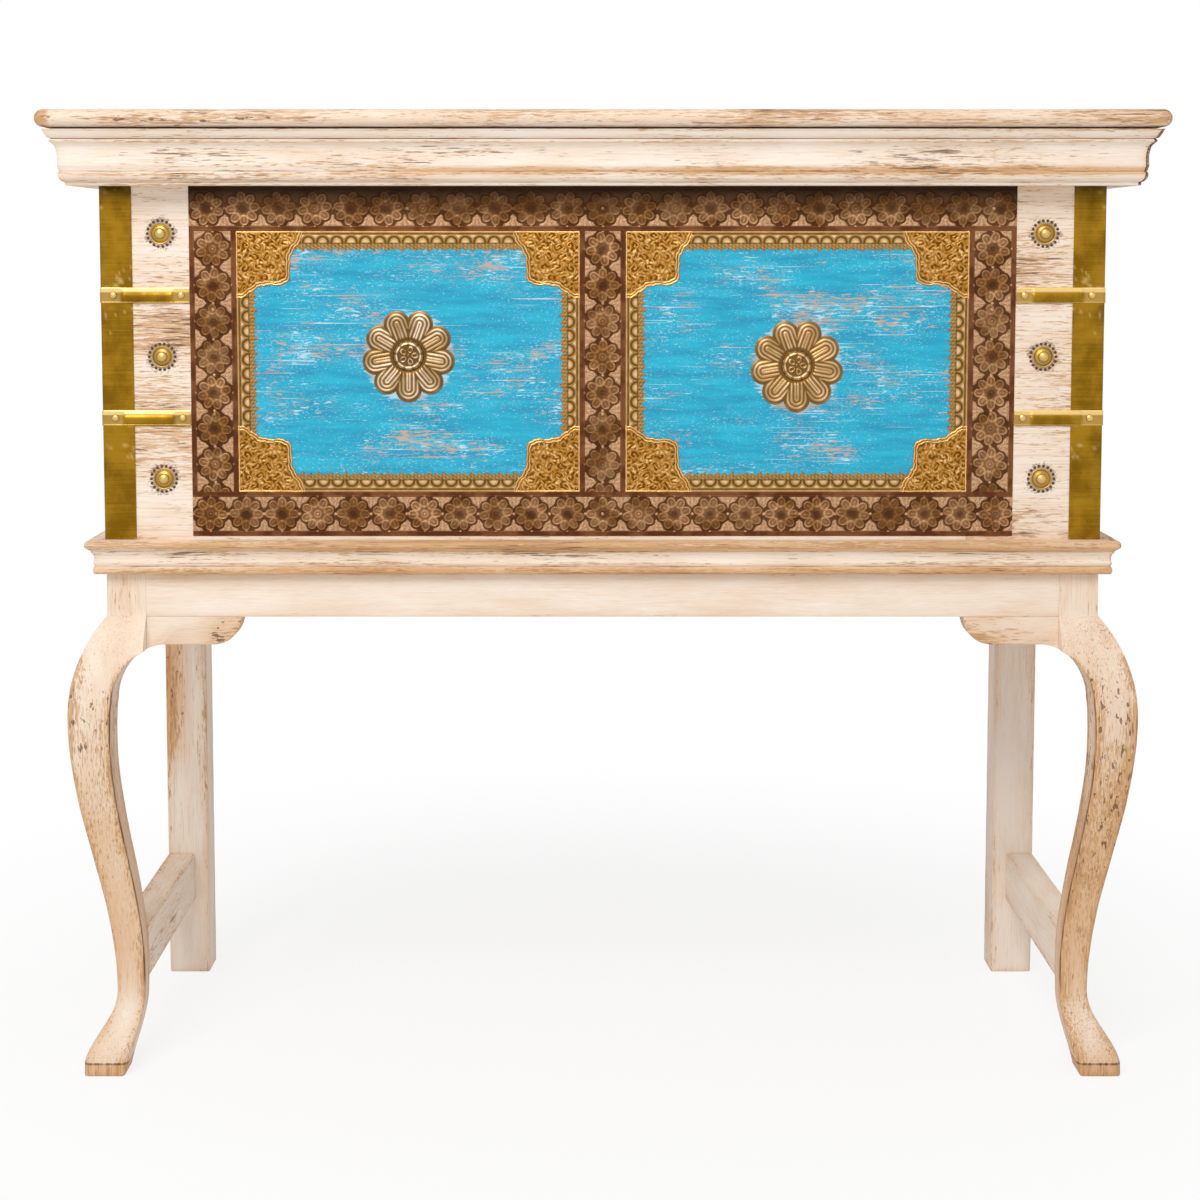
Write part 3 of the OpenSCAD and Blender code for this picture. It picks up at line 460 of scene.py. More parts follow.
def ripple(t, length, seed):
    """A smooth wave from -1 to 1: three sines, of the given length and of its 1/2.3 and 1/4.7 parts, with
    seeded phases, the shorter ones weaker."""
    phase = np.random.default_rng(seed).uniform(0, 2 * np.pi, 3)
    turns = 2 * np.pi * np.asarray(t, float) / length
    return (np.sin(turns + phase[0]) + 0.5 * np.sin(2.3 * turns + phase[1])
            + 0.25 * np.sin(4.7 * turns + phase[2])) / 1.75


def smooth_step(t):
    """0 below 0, 1 above 1, and 3t^2 - 2t^3 between."""
    t = np.clip(t, 0, 1)
    return t * t * (3 - 2 * t)


def ridge(distance, width):
    """1 on a line and falling as a bell away from it: e to the power -(distance / width)^2."""
    return np.exp(-(distance / width) ** 2)


print("a ripple at 0, 10 and 20 mm:", np.round(ripple([0, 10, 20], 60, 1), 2))

# %% [markdown]
# ## Sawn boards with softened arrises
#
# A board is a rounded rectangle carried along its length. A Bevel modifier would round it evenly, but
# sandpaper takes the arrises back unevenly, so here the rounding varies a little on the way, always
# inwards. Extra points lie 3 and 10 mm from each arris: the wear attribute is 1 on the arris and fades out
# over them, and the paint uses it to rub through.

# %% Rings and stations
NEAR, FAR = 3, 10
FADE = ((FAR, 0.9, 0.0), (NEAR, 0.3, 0.4))


def rounded_rings(half_u, half_v, corner):
    """Rings round rectangles: at each corner a quarter circle of five points, and on the flats beside it
    points NEAR and FAR away, or a share of the flat where that is shorter. Also each point's wear."""
    half_u, half_v, corner = np.broadcast_arrays(*(np.asarray(a, float) for a in (half_u, half_v, corner)))
    points, wear = [], []
    for k in range(4):
        start, end = k * np.pi / 2, (k + 1) * np.pi / 2
        centre_u = np.sign(np.cos(start + 0.7)) * (half_u - corner)
        centre_v = np.sign(np.sin(start + 0.7)) * (half_v - corner)
        before, after = (half_v, half_u) if k % 2 == 0 else (half_u, half_v)
        for far, share, tone in FADE:
            back = np.minimum(far, share * (before - corner))
            points.append((centre_u + corner * np.cos(start) + np.sin(start) * back,
                           centre_v + corner * np.sin(start) - np.cos(start) * back))
            wear.append(tone)
        for a in np.linspace(start, end, 5):
            points.append((centre_u + corner * np.cos(a), centre_v + corner * np.sin(a)))
            wear.append(1.0)
        for far, share, tone in FADE[::-1]:
            on = np.minimum(far, share * (after - corner))
            points.append((centre_u + corner * np.cos(end) - np.sin(end) * on,
                           centre_v + corner * np.sin(end) + np.cos(end) * on))
            wear.append(tone)
    return np.stack([np.stack(p, -1) for p in points], -2), np.array(wear)


def stations_along(length, corner, step=12.0):
    """Places along a board, how far its ring is drawn in there, and the wear: a quarter circle at each
    end, then NEAR and FAR, then even steps."""
    turn = np.radians([0, 30, 60, 90])
    near = np.concatenate([corner * (1 - np.cos(turn)), [corner + NEAR, corner + FAR]])
    drawn = np.concatenate([corner * (1 - np.sin(turn)), [0, 0]])
    tone = np.array([1, 1, 1, 1, 0.4, 0])
    count = max(2, int((length - 2 * near[-1]) / step))
    middle = np.linspace(near[-1], length - near[-1], count + 1)[1:-1]
    flat = np.zeros(len(middle))
    return (np.concatenate([near, middle, length - near[::-1]]), np.concatenate([drawn, flat, drawn[::-1]]),
            np.concatenate([tone, flat, tone[::-1]]))


print("stations on a 100 mm board:", np.round(stations_along(100, 1.6)[0], 1))

# %% Boards in their places
FRONT_POST_BACK, REAR_POST_FACE = -125.3, 143.3
FRONT_SHOULDER, REAR_SHOULDER = 459.95, 452.8


def box_mm(node):
    """The low and the high corner of a node's box, in millimetres."""
    return np.array([list(corner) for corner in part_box(node)]) / MM


def board(node, along, finish, corner=1.6, low=(None,) * 3, high=(None,) * 3, seed=1, ends=1.0, **tones):
    """A board in its CAD node's box, or in the part of it between low and high, lengthways along an axis:
    rings round its cross-section, set one after another. Its arrises' radius is the corner times 1 plus a
    ripple. ends is the wear at its ends, and other tones are functions of the points."""
    box = box_mm(node)
    for row, given in enumerate((low, high)):
        box[row] = [b if g is None else g for b, g in zip(box[row], given)]
    u, v = [axis for axis in range(3) if axis != along]
    place, drawn, end_wear = stations_along(box[1, along] - box[0, along], corner)
    rounding = np.maximum(corner * (1 + 0.45 * ripple(place, 60, seed)) - drawn, 0.05)
    half = (box[1] - box[0]) / 2
    ring, wear = rounded_rings(half[u] - drawn, half[v] - drawn, rounding)
    points = np.zeros((*ring.shape[:2], 3))
    points[..., along] = (box[0, along] + place)[:, None]
    points[..., u] = ring[..., 0] + (box[0, u] + box[1, u]) / 2
    points[..., v] = ring[..., 1] + (box[0, v] + box[1, v]) / 2
    return painted(node + "_painted", node, points, finish, wear=np.maximum(wear, ends * end_wear[:, None]),
                   **{key: tone(points) for key, tone in tones.items()})


def left_edge_rubbed(points):
    """0.7 on the upper left part of the rear leg, and 0 elsewhere: the product of a step across the leg and
    one up it."""
    low = points[..., 0].min()
    return 0.7 * smooth_step((low + 34 - points[..., 0]) / 26) * smooth_step((points[..., 2] - 210) / 90)


for side in SIDES:
    rubbed = {"chip": left_edge_rubbed, "rub": left_edge_rubbed} if side == "left" else {}
    board("rear_leg_" + side, 2, paint_post, 2.0, seed=3, **rubbed)
    board("apron_" + side, 1, paint_y, 1.2, (None, FRONT_POST_BACK, None), (None, REAR_POST_FACE, None), 5)
    board("side_board_" + side, 1, paint_y, 1.2, seed=7)
board("apron_front", 0, paint_clean, 0.4, (-FRONT_SHOULDER, None, None), (FRONT_SHOULDER, None, None), 9, 0.0)
board("apron_rear", 0, paint_x, 1.2, (-REAR_SHOULDER, None, None), (REAR_SHOULDER, None, None), 11)
board("back_board", 0, paint_x, 1.2, seed=13)
board("base_rail_rear", 0, paint_x, 1.6, seed=15)

# %% [markdown]
# ## The curved front legs
#
# A cabriole leg is drawn once on a board and sawn from the post in two planes, so its outline is the
# same from the front and from the side. Here the leg is a square ring at each height: swing says how far
# it leans out, thickness how stout it is, and near the top the inner side opens into the knee's arch.
# Sculpting could give the same form, but two curves over the height are what the maker drew too.
# Sanding has taken the paint off the toes, so rub is strong there, and the inner arris is drawn darker.

# %% The leg's outline
# Heights from the floor, lean out from the post's outer face, and widths.
LEG_H, APRON_Z, KNEE_Z, ANKLE_Z, TOE_Z = 511.5, 467.0, 370.0, 80.0, 8.0
KNEE_OUT, ANKLE_IN, TOE_OUT, HEEL_IN = 35.0, 2.3, 27.0, 14.5
ANKLE_W, KNEE_W, POST = 28.0, 42.5, 39.0
ARCH_Z, ARCH_RISE, ARCH_REACH = 385.0, 53.5, 58.0


def wave(a, b, t):
    """A half cosine from a to b while t goes from 0 to 1."""
    return a + (b - a) * (1 - np.cos(np.pi * np.clip(t, 0, 1))) / 2


def swing(z):
    """Outward lean: out over the knee along a sine, back in along a wave to the ankle, and out at the toe,
    where it is cut off upright, which leaves a crisp lip."""
    flare = KNEE_OUT * np.sin(np.pi / 2 * np.clip((APRON_Z - z) / (APRON_Z - KNEE_Z), 0, 1) ** 0.8)
    shin = wave(KNEE_OUT, -ANKLE_IN, (KNEE_Z - z) / (KNEE_Z - ANKLE_Z))
    foot = wave(-ANKLE_IN, TOE_OUT + 0.5, np.clip((ANKLE_Z - z) / (ANKLE_Z - TOE_Z), 0, 1) ** 1.1)
    return np.where(z >= KNEE_Z, flare, np.where(z >= ANKLE_Z, shin, np.minimum(foot, TOE_OUT)))


def thickness(z):
    """Stoutness: straight growth from ankle to knee."""
    return ANKLE_W + (KNEE_W - ANKLE_W) * (z - ANKLE_Z) / (KNEE_Z - ANKLE_Z)


ARCH_RUN = float(ARCH_REACH + swing(np.array(ARCH_Z)) - thickness(np.array(ARCH_Z)))


def inner_line(z):
    """The inner side, counted outward from the box: a slant at the heel, the shin's, then an ellipse, then
    the post's."""
    lift = np.clip((z - ARCH_Z) / ARCH_RISE, 0, 1)
    arch = -ARCH_REACH + ARCH_RUN * np.sqrt(1 - lift ** 2)
    heel = -HEEL_IN - (ANKLE_IN + ANKLE_W - HEEL_IN) * np.sin(np.pi / 2 * np.clip(z / ANKLE_Z, 0, 1)) ** 1.25
    upper = np.where(z <= ARCH_Z, swing(z) - thickness(z), np.maximum(arch, -POST))
    return np.where(z <= ANKLE_Z, heel, upper)


ARCH_TOP = ARCH_Z + ARCH_RISE * math.sqrt(1 - ((ARCH_REACH - POST) / ARCH_RUN) ** 2)
print("arch ends at", round(ARCH_TOP, 1), "mm; lean at knee and ankle", swing(np.array([KNEE_Z, ANKLE_Z])))

# %% Front legs


def front_leg(side):
    """Rings every 6 mm up the leg, closer over the toe and the arch; a point's x and y both lie between the
    inner line and the swing. A darker line follows the inner arris, the lip of the toe and the foot's bottom
    edge. Rub is strongest on the toe, less on the shin and least on the instep and under the knee; the right
    leg has more of it, and more chips down the front of its knee."""
    place, drawn, end_wear = stations_along(LEG_H, 2.5, 6.0)
    z = np.unique(np.concatenate([place, np.linspace(10, 22, 13), np.linspace(ARCH_Z, ARCH_TOP, 26),
                                  [ARCH_TOP + 0.2]]))
    drawn, end_wear = np.interp(z, place, drawn), np.interp(z, place, end_wear)
    joined = smooth_step((z - ARCH_TOP + 6) / 6)
    soft = (2.6 + 4.4 * smooth_step((70 - z) / 60)) * (1 - joined) + 0.3 * joined
    rounding = np.maximum(soft * (1 + 0.3 * ripple(z, 70, 21)) - drawn, 0.05)
    outer, inner = swing(z) - 0.5 * drawn, inner_line(z) + 0.5 * drawn
    half, middle = (outer - inner) / 2, (outer + inner) / 2
    ring, wear = rounded_rings(half, half, rounding)
    points = at(SIDES[side] * (HALF_W + middle[:, None] + ring[..., 0]),
                FRONT - middle[:, None] + ring[..., 1], z[:, None])
    around = ring.shape[1]
    inner_arris = np.zeros(around)
    inner_arris[around // 2 + 2:around // 2 + 5] = 1
    # Darker along the inner arris, at the toe's lip and at the foot's bottom edge.
    grime = inner_arris[None] * smooth_step((z[:, None] - 40) / 60) * smooth_step((430 - z[:, None]) / 40)
    grime = np.maximum(grime, 1.3 * ridge(z[:, None] - 13.0, 1.8) + 0.8 * smooth_step((2.5 - z[:, None]) / 2))
    wear = np.maximum(wear, end_wear[:, None]) * (1 - joined[:, None])
    right = 1.0 if side == "right" else 0.0
    tanned = 0.30 + 0.34 * right * (0.25 + 0.75 * smooth_step((z - 70) / 110))
    rub = (tanned * smooth_step((425 - z) / 190) + 0.04 - 0.4 * ridge(z - 44, 34)
           + 0.9 * smooth_step((14 - z) / 2) - 0.25 * smooth_step((z - 400) / 50))[:, None]
    outward = 0.6 + 0.4 * smooth_step(0.5 + 0.6 * ring[..., 0] / half[:, None])
    knock = (0.3 + 1.6 * right) * ridge(z - 300, 100) + 1.3 * ridge(z - 372, 46)
    painted(f"front_leg_{side}_carved", "front_leg_" + side, points, paint_leg, wear=wear, grime=grime,
            rub=rub, chip=knock[:, None] * outward)


for side in SIDES:
    front_leg(side)

# %% [markdown]
# ## Knee brackets and stretchers
#
# The bracket is a small board sawn to an outline, a quarter round at its tip and the leg's arch at the
# other end. It is a stack of outlines through its thickness, drawn in at the front and back so that its
# edges are soft. An extruded outline with a bevel would look alike, but its wear would have to be guessed:
# here the outline's own bends say where paint wears and where dirt stays. The stretcher is a board whose
# front end is scribed to the back of the curved leg.

# %% Outlines


def resample(outline, spacing):
    """A closed outline with its corners kept and points added so that none lie further apart."""
    outline = np.asarray(outline, float)
    run = np.roll(outline, -1, 0) - outline
    count = np.maximum(1, np.ceil(np.hypot(*run.T) / spacing)).astype(int)
    which = np.repeat(np.arange(len(outline)), count)
    part = (np.arange(count.sum()) - np.repeat(np.cumsum(count) - count, count)) / count[which]
    return outline[which] + run[which] * part[:, None]


def soften(outline, radius):
    """Rounds corners and gives the wear and grime of each point. Every point becomes the average of its
    neighbours, weighted by a bell over the distance along the outline; the turning angle summed under a
    bell is positive on outer corners, where paint wears, and negative in inner ones, where dirt stays."""
    ahead = np.roll(outline, -1, 0) - outline
    behind = np.roll(ahead, 1, 0)
    turn = np.arctan2(behind[:, 0] * ahead[:, 1] - behind[:, 1] * ahead[:, 0], np.sum(behind * ahead, 1))
    run = np.concatenate([[0], np.cumsum(np.hypot(*ahead.T))])
    gap = np.abs(run[:-1, None] - run[None, :-1])
    gap = np.minimum(gap, run[-1] - gap)
    length = (np.hypot(*ahead.T) + np.hypot(*behind.T)) / 2
    weight = np.exp(-(gap / radius) ** 2) * length[None]
    smooth = weight @ outline / weight.sum(1)[:, None]
    bend = np.exp(-(gap / 2.2) ** 2) @ turn
    return smooth, np.clip(bend / 0.9, 0, 1), np.clip(-bend / 0.7, 0, 1)


def arc(centre, radii, start, end, count):
    """Points on an ellipse from one angle in degrees to another: the centre plus the radii times cosine and
    sine."""
    a = np.radians(np.linspace(start, end, count))
    return np.stack([centre[0] + radii[0] * np.cos(a), centre[1] + radii[1] * np.sin(a)], -1)


print("a square's corners after softening:", np.round(soften(np.eye(4)[:, :2] * 9, 3.0)[0], 1).tolist())

# %% Knee brackets and stretchers
BRACKET_H, BRACKET_T, BRACKET_END = 28.5, 28.0, 364.0
ARCH_END = math.degrees(math.acos((ARCH_REACH - POST) / ARCH_RUN))
STRETCHER_T, STRETCHER_H = 30.0, 54.0


def knee_bracket(side):
    """The outline at every depth from the front, each point drawn in towards the middle by how far the
    edge is rounded there, except where it meets the leg and the apron."""
    outline = np.concatenate([
        [[HALF_W - POST - 0.2, APRON_Z - 0.1]],
        arc((BRACKET_END + BRACKET_H, APRON_Z - 0.1), (BRACKET_H, BRACKET_H), 180, 270, 10),
        arc((HALF_W - ARCH_REACH, ARCH_Z), (ARCH_RUN - 0.2, ARCH_RISE), 90, ARCH_END, 6)])
    outline, wear, _ = soften(resample(outline, 1.5), 0.6)
    below, beside = APRON_Z - outline[:, 1], HALF_W - POST - outline[:, 0]
    free = smooth_step((below - 2) / 4) * smooth_step((beside - 2) / 4)
    centre = outline.mean(0)
    depth, drawn, end_wear = stations_along(BRACKET_T, 1.4, 8.0)
    away = outline - centre
    shrink = 1 - drawn[:, None] * free[None] / np.hypot(*away.T)[None]
    flat = centre + away[None] * shrink[..., None]
    points = at(SIDES[side] * flat[..., 0], FRONT + depth[:, None], flat[..., 1])
    tip = smooth_step((BRACKET_END + 52 - flat[..., 0]) / 34)
    painted(f"knee_bracket_{side}_shaped", "knee_bracket_" + side, points, paint_clean,
            wear=np.maximum(wear, end_wear[:, None]) * free * 0.8, rub=0.5 * tip, chip=1.5 * tip)


def stretcher(side):
    """A board from the leg's back face to the rear post; its front end follows the leg's curve, since every
    point's y is a share of the way from the leg, at that height, to the post."""
    low, high = box_mm("stretcher_" + side)
    place, drawn, end_wear = stations_along(1000.0, 1.6, 40.0)
    rounding = np.maximum(1.6 - drawn, 0.05)
    ring, wear = rounded_rings(STRETCHER_T / 2 - drawn, STRETCHER_H / 2 - drawn, rounding)
    z = ring[..., 1] + (low[2] + high[2]) / 2
    start = FRONT - inner_line(z) + 0.2
    share = place[:, None] / place[-1]
    points = at(ring[..., 0] + (low[0] + high[0]) / 2, start + share * (REAR_POST_FACE - start), z)
    painted(f"stretcher_{side}_scribed", "stretcher_" + side, points, paint_y,
            wear=np.maximum(wear, end_wear[:, None]))


for side in SIDES:
    knee_bracket(side)
    stretcher(side)

# %% [markdown]
# ## Mouldings
#
# A moulding is planed as one profile and cut at 45 degrees where it turns the corner. The profile is
# written as shares of its projection and height, resampled to about a millimetre and softened, because
# paint rounds every edge. It is then carried along the front, and along each side from the mitre back. A
# curve with a bevel object could sweep it too, but its corners would be joined, and here each mitre is a
# joint of its own that can stand a little open.

# %% Moulding profiles
BASE_OUT, BASE_H = 18.7, 34.0
CORNICE_OUT, CORNICE_H, CORNICE_Z = 46.6, 54.2, 898.5


def base_profile(out, height):
    """From the floor up: a small bead, a wide upright cove, and a nose whose edge leans out to the top."""
    return np.concatenate([
        [[-60, 0], [0.52 * out, 0]],
        arc((0.52 * out, 0.115 * height), (0.11 * out, 0.115 * height), -80, 80, 6),
        [[0.53 * out, 0.25 * height]],
        arc((0.75 * out, 0.46 * height), (0.2 * out, 0.2 * height), 225, 140, 6),
        [[0.70 * out, 0.66 * height], [0.68 * out, 0.69 * height], [0.78 * out, 0.73 * height]],
        arc((0.86 * out, 0.88 * height), (0.14 * out, 0.12 * height), -35, 90, 8),
        [[-60, height]]])


def cornice_profile(out, height):
    """From the top down: a square fillet, a small bead, a wide cove, an ogee and a square foot."""
    return np.concatenate([
        [[0, height], [out, height], [0.905 * out, 0.85 * height], [0.86 * out, 0.835 * height]],
        arc((0.86 * out - 2, 0.79 * height), (2.6, 0.04 * height), 80, -80, 5),
        arc((0.815 * out, 0.46 * height), (0.085 * out, 0.27 * height), 100, 205, 10),
        [[0.96 * 0.73 * out, 0.24 * height]],
        arc((0.61 * out, 0.2 * height), (0.12 * out, 0.14 * height), 10, -80, 8),
        [[0.61 * out, 0.06 * height], [0.61 * out, 0], [0, 0]]])[::-1]


profiles = base_profile(BASE_OUT, BASE_H), cornice_profile(CORNICE_OUT, CORNICE_H)
print("points in the two profiles:", [len(profile) for profile in profiles])

# %% Base and cornice mouldings
MITRE_GAP, MITRE_OPEN = 0.25, 2.8


def base_rub(level, x):
    """Rub by share of the height and place: strong on the nose and the bead, least near the left end."""
    worn = (0.75 + 0.25 * ripple(x, 620, 61)) * (0.45 + 0.55 * smooth_step((x + 440) / 190))
    nose = smooth_step((level - 0.64) / 0.05) * (1 - 0.6 * smooth_step((level - 0.96) / 0.03))
    return 0.05 + 1.35 * worn * np.maximum(nose, 0.9 * smooth_step((0.27 - level) / 0.04))


def cornice_rub(level, x):
    """A worn line at the foot of the cove, which begins left of the middle."""
    return 2.4 * smooth_step((x + 260) / 150) * (0.6 + 0.4 * ripple(x, 260, 62)) * ridge(level - 0.26, 0.06)


def stood_out(reach, wear, place, drawn, seed):
    """How far each profile point stands out at each place: less where its arris is worn, by a ripple along
    the piece, and at the drawn-in ends. Points at the wall stay there."""
    worn = wear * 0.25 * (1 + ripple(place, 80, seed))[:, None]
    return reach[None] - worn - 0.7 * drawn[:, None] * (reach > 0)


def moulding(kind, profile, foot_z, out, rub_of, gap):
    """The profile along the front between mitres, and along both sides from the mitre to the back. gap is how
    far the right mitre has opened, as a share of MITRE_OPEN; the side piece's end, seen through it, is
    darkened as painted shade."""
    flat, wear, grime = soften(resample(profile, 1.1), 0.6)
    reach, rise = flat[:, 0], flat[:, 1]
    level, grime = rise / rise.max(), 0.86 * grime
    place, drawn, end_wear = stations_along(2 * (HALF_W + out), 1.0, 8.0)
    share = (place / (HALF_W + out) - 1)[:, None]
    x = share * (HALF_W + reach - MITRE_GAP)
    x = x - MITRE_OPEN * gap * smooth_step((share - 0.97) / 0.02) * (reach > 0)
    specks = 0.7 * ridge(level - 0.62, 0.1) * (0.5 + 0.5 * ripple(x, 330, 63)) ** 2
    painted(kind + "_front_moulded", kind + "_front",
            at(x, FRONT - stood_out(reach, wear, place, drawn, 31), foot_z + rise), paint_x,
            wear=np.maximum(wear, end_wear[:, None] * 0.8), grime=grime, rub=rub_of(level, x), chip=specks)

    place, drawn, end_wear = stations_along(BACK - FRONT + out, 1.0, 10.0)
    start = FRONT - reach + MITRE_GAP
    y = start + (place / (BACK - FRONT + out))[:, None] * (BACK - start)
    for side, sign in SIDES.items():
        x = sign * (HALF_W + stood_out(reach, wear, place, drawn, 33 + sign))
        # The right side piece's mitre face, seen through the open mitre, is darkened: painted shade.
        mitre_end_shade = 1.6 * gap * (sign > 0) * (place < 1.1)
        painted(f"{kind}_{side}_moulded", f"{kind}_{side}", at(x, y, foot_z + rise), paint_y,
                wear=np.maximum(wear, end_wear[:, None] * 0.8), grime=np.maximum(grime, mitre_end_shade[:, None]),
                rub=0.7 * rub_of(level, y))


moulding("base_moulding", profiles[0], LEG_H, BASE_OUT, base_rub, 0.3)
moulding("cornice", profiles[1], CORNICE_Z, CORNICE_OUT, cornice_rub, 1.0)

# %% [markdown]
# ## The lid
#
# The lid is one board with a full half-round edge at the front and sides, and ball corners between
# them, as a router leaves them. It could be a box with bevelled edges, but then wear and chips would have
# no places of their own. Each ring here is the board's cut across its width: its half thickness shrinks
# near the ends as a circle does, and its front arc keeps one centre, which makes the ball corner.

# %% Lid board
LID_REAR_ROUND, LID_FADE, LID_RINGS = 2.0, 14, 138


def lid():
    """Rings across the board from end to end. Near an end the half thickness is the radius times the sine of
    the angle round the edge, and x the radius times its cosine. Round each ring run the top, the front's half
    circle, the bottom and two small rear corners. The top dips by a ripple. Wear lies on the edges, chips in
    cracked lines at the front left, rub on the left end, and painted shade in the gap to the cornice below."""
    low, high = box_mm("lid_board")
    radius, back = (high[2] - low[2]) / 2, high[1] - LID_REAR_ROUND
    centre_z, centre_y = (low[2] + high[2]) / 2, low[1] + radius
    turn = np.radians([6, 20, 35, 50, 65, 78, 90])
    ends = high[0] - radius + radius * np.cos(turn)
    middle = np.linspace(-ends[-1], ends[-1], LID_RINGS)[1:-1]
    x = np.concatenate([-ends, middle, ends[::-1]])[:, None]
    half = radius * np.concatenate([np.sin(turn), np.ones(len(middle)), np.sin(turn[::-1])])[:, None]
    end_wear = np.clip(1 - (ends[-1] - np.abs(x)) / LID_FADE, 0, 1)

    top_y = back - np.concatenate([[0], NEAR + np.linspace(0, 1, 24) * (back - centre_y - 9)])
    front, rear = np.radians(np.linspace(90, 270, 15)), np.radians(np.linspace(0, 90, 4))
    level, corner = np.ones_like(half * top_y), np.minimum(LID_REAR_ROUND, 0.9 * half)
    y = np.concatenate([level * top_y, centre_y + half * np.cos(front), level * top_y[::-1],
                        high[1] - corner + corner * np.cos(rear - np.pi / 2),
                        high[1] - corner + corner * np.cos(rear)], 1)
    z = np.concatenate([half * level, half * np.sin(front), -half * level,
                        -half + corner + corner * np.sin(rear - np.pi / 2),
                        half - corner + corner * np.sin(rear)], 1)
    top_wear = np.clip((centre_y + LID_FADE - top_y) / LID_FADE, 0, 1)
    wear = np.concatenate([top_wear, np.full(len(front), 0.8), top_wear[::-1], np.ones(2 * len(rear))])
    dip = 0.35 * (1 + ripple(x, 260, 41)) * (z > 0) * smooth_step((y - centre_y) / 60)

    front_edge = smooth_step((centre_y + 3 - y) / 4)
    cracked = 2.4 * smooth_step((x + 490) / 30) * smooth_step((-250 - x) / 90) * ridge(z + 0.5, 2.4)
    flecked = (0.3 + 0.4 * ripple(x, 330, 43)) * smooth_step((330 - x) / 120)
    ends_rubbed = 1.6 * smooth_step((-x - 536) / 12) - 0.4 * smooth_step((x - 250) / 120)
    # A brown line along the bottom of the front edge is painted shade in the gap over the cornice.
    parting_line_shade = 0.9 * smooth_step((-z - half + 2.6) / 2) * front_edge
    painted("lid_board_rounded", "lid_board", at(x, y, centre_z + z - dip), paint_lid, "lid",
            wear=0.6 * np.maximum(wear, end_wear), chip=(cracked + flecked) * front_edge,
            rub=ends_rubbed * (0.3 + 0.7 * front_edge), grime=parting_line_shade)


lid()

# %% [markdown]
# ## Pressed metal as a height over a sheet
#
# Pressed foil is a sheet with a height at every point. A bump in the material could fake it, but it would
# stay flat at the edges and in raking light. So the front is a grid of points lifted by that height, two
# long skirts run back to the wood, and the ends are capped, so each strip is a closed solid. The same
# height, from 0 in the hollows to 1 on the ridges, is kept as the crest attribute.

# %% Relief sheets


def relief_faces(rows, columns):
    """Faces for a grid of rows x columns followed by two back rows of the same columns: a quad between each
    four neighbours, one more row of quads that closes the back, and a cap across each end."""
    row, column = np.meshgrid(np.arange(rows + 1), np.arange(columns - 1), indexing="ij")
    a = row * columns + column
    below = a + columns
    quads = np.stack([a, a + 1, below + 1, below], -1).reshape(-1, 4)
    last, first = (rows + 1) * columns + np.arange(columns - 1), np.arange(columns - 1)
    closing = np.stack([last, last + 1, first + 1, first], -1)
    ends = [np.arange(rows + 2) * columns, (np.arange(rows + 2) * columns + columns - 1)[::-1]]
    return np.concatenate([quads, closing]), [end.tolist() for end in ends]


def with_back(grid):
    """A grid with its last and first rows added again, for the two edges of the sheet's back."""
    return np.concatenate([grid, grid[-1:], grid[:1]])


def relief_sheet(u, v, height, place, back=0.0):
    """Points of a relief: the lifted grid, then its last and first rows again at the back's height."""
    return place(with_back(u), with_back(v), np.concatenate([height, np.full_like(height[:2], back)]))


def on_front(u, v, height):
    """A point on the chest's front: u to the right, v up, and the height towards the viewer."""
    return np.stack([u, FRONT - height, v], -1)


print("a 4 x 5 relief has", len(relief_faces(4, 5)[0]), "quads and 2 caps")

# %% [markdown]
# ## The flower strips
#
# One die pressed a row of round flowers into the strip: eight petals, each an oval ring with a vein,
# round a small button. Pale palmettes fill the gaps, so their sides follow the flowers' scalloped edge.
# Beads stand between neighbours and at each flower's flanks, and plain bands edge the strip. Petals could
# be modelled one by one, but folding the angle into one petal's share draws all of them at once. A seeded
# draw wears each flower differently.

# %% One strip of the flower die
# The die in millimetres: the flowers' spacing, the plain band at the strip's edge, how far a petal's middle
# lies from the button, how much longer than wide a petal is, and the radii of a petal and of its ring.
PITCH, BAND, PETALS = 35.8, 5.0, 8
PETAL_AT, PETAL_LONG, PETAL_R, PETAL_RING = 11.8, 1.2, 4.7, 3.9
# The radii of the flower's heart, its button and the ring round that; half a palmette's width, and the
# height over which it narrows; and how wide a pressed step or line is.
HEART_R, BUTTON_R, BUTTON_RING = 12.2, 1.6, 3.1
FAN_HALF, FAN_TALL = 10.5, 12.0
STEP = 0.8
MOST_FLOWERS = 41


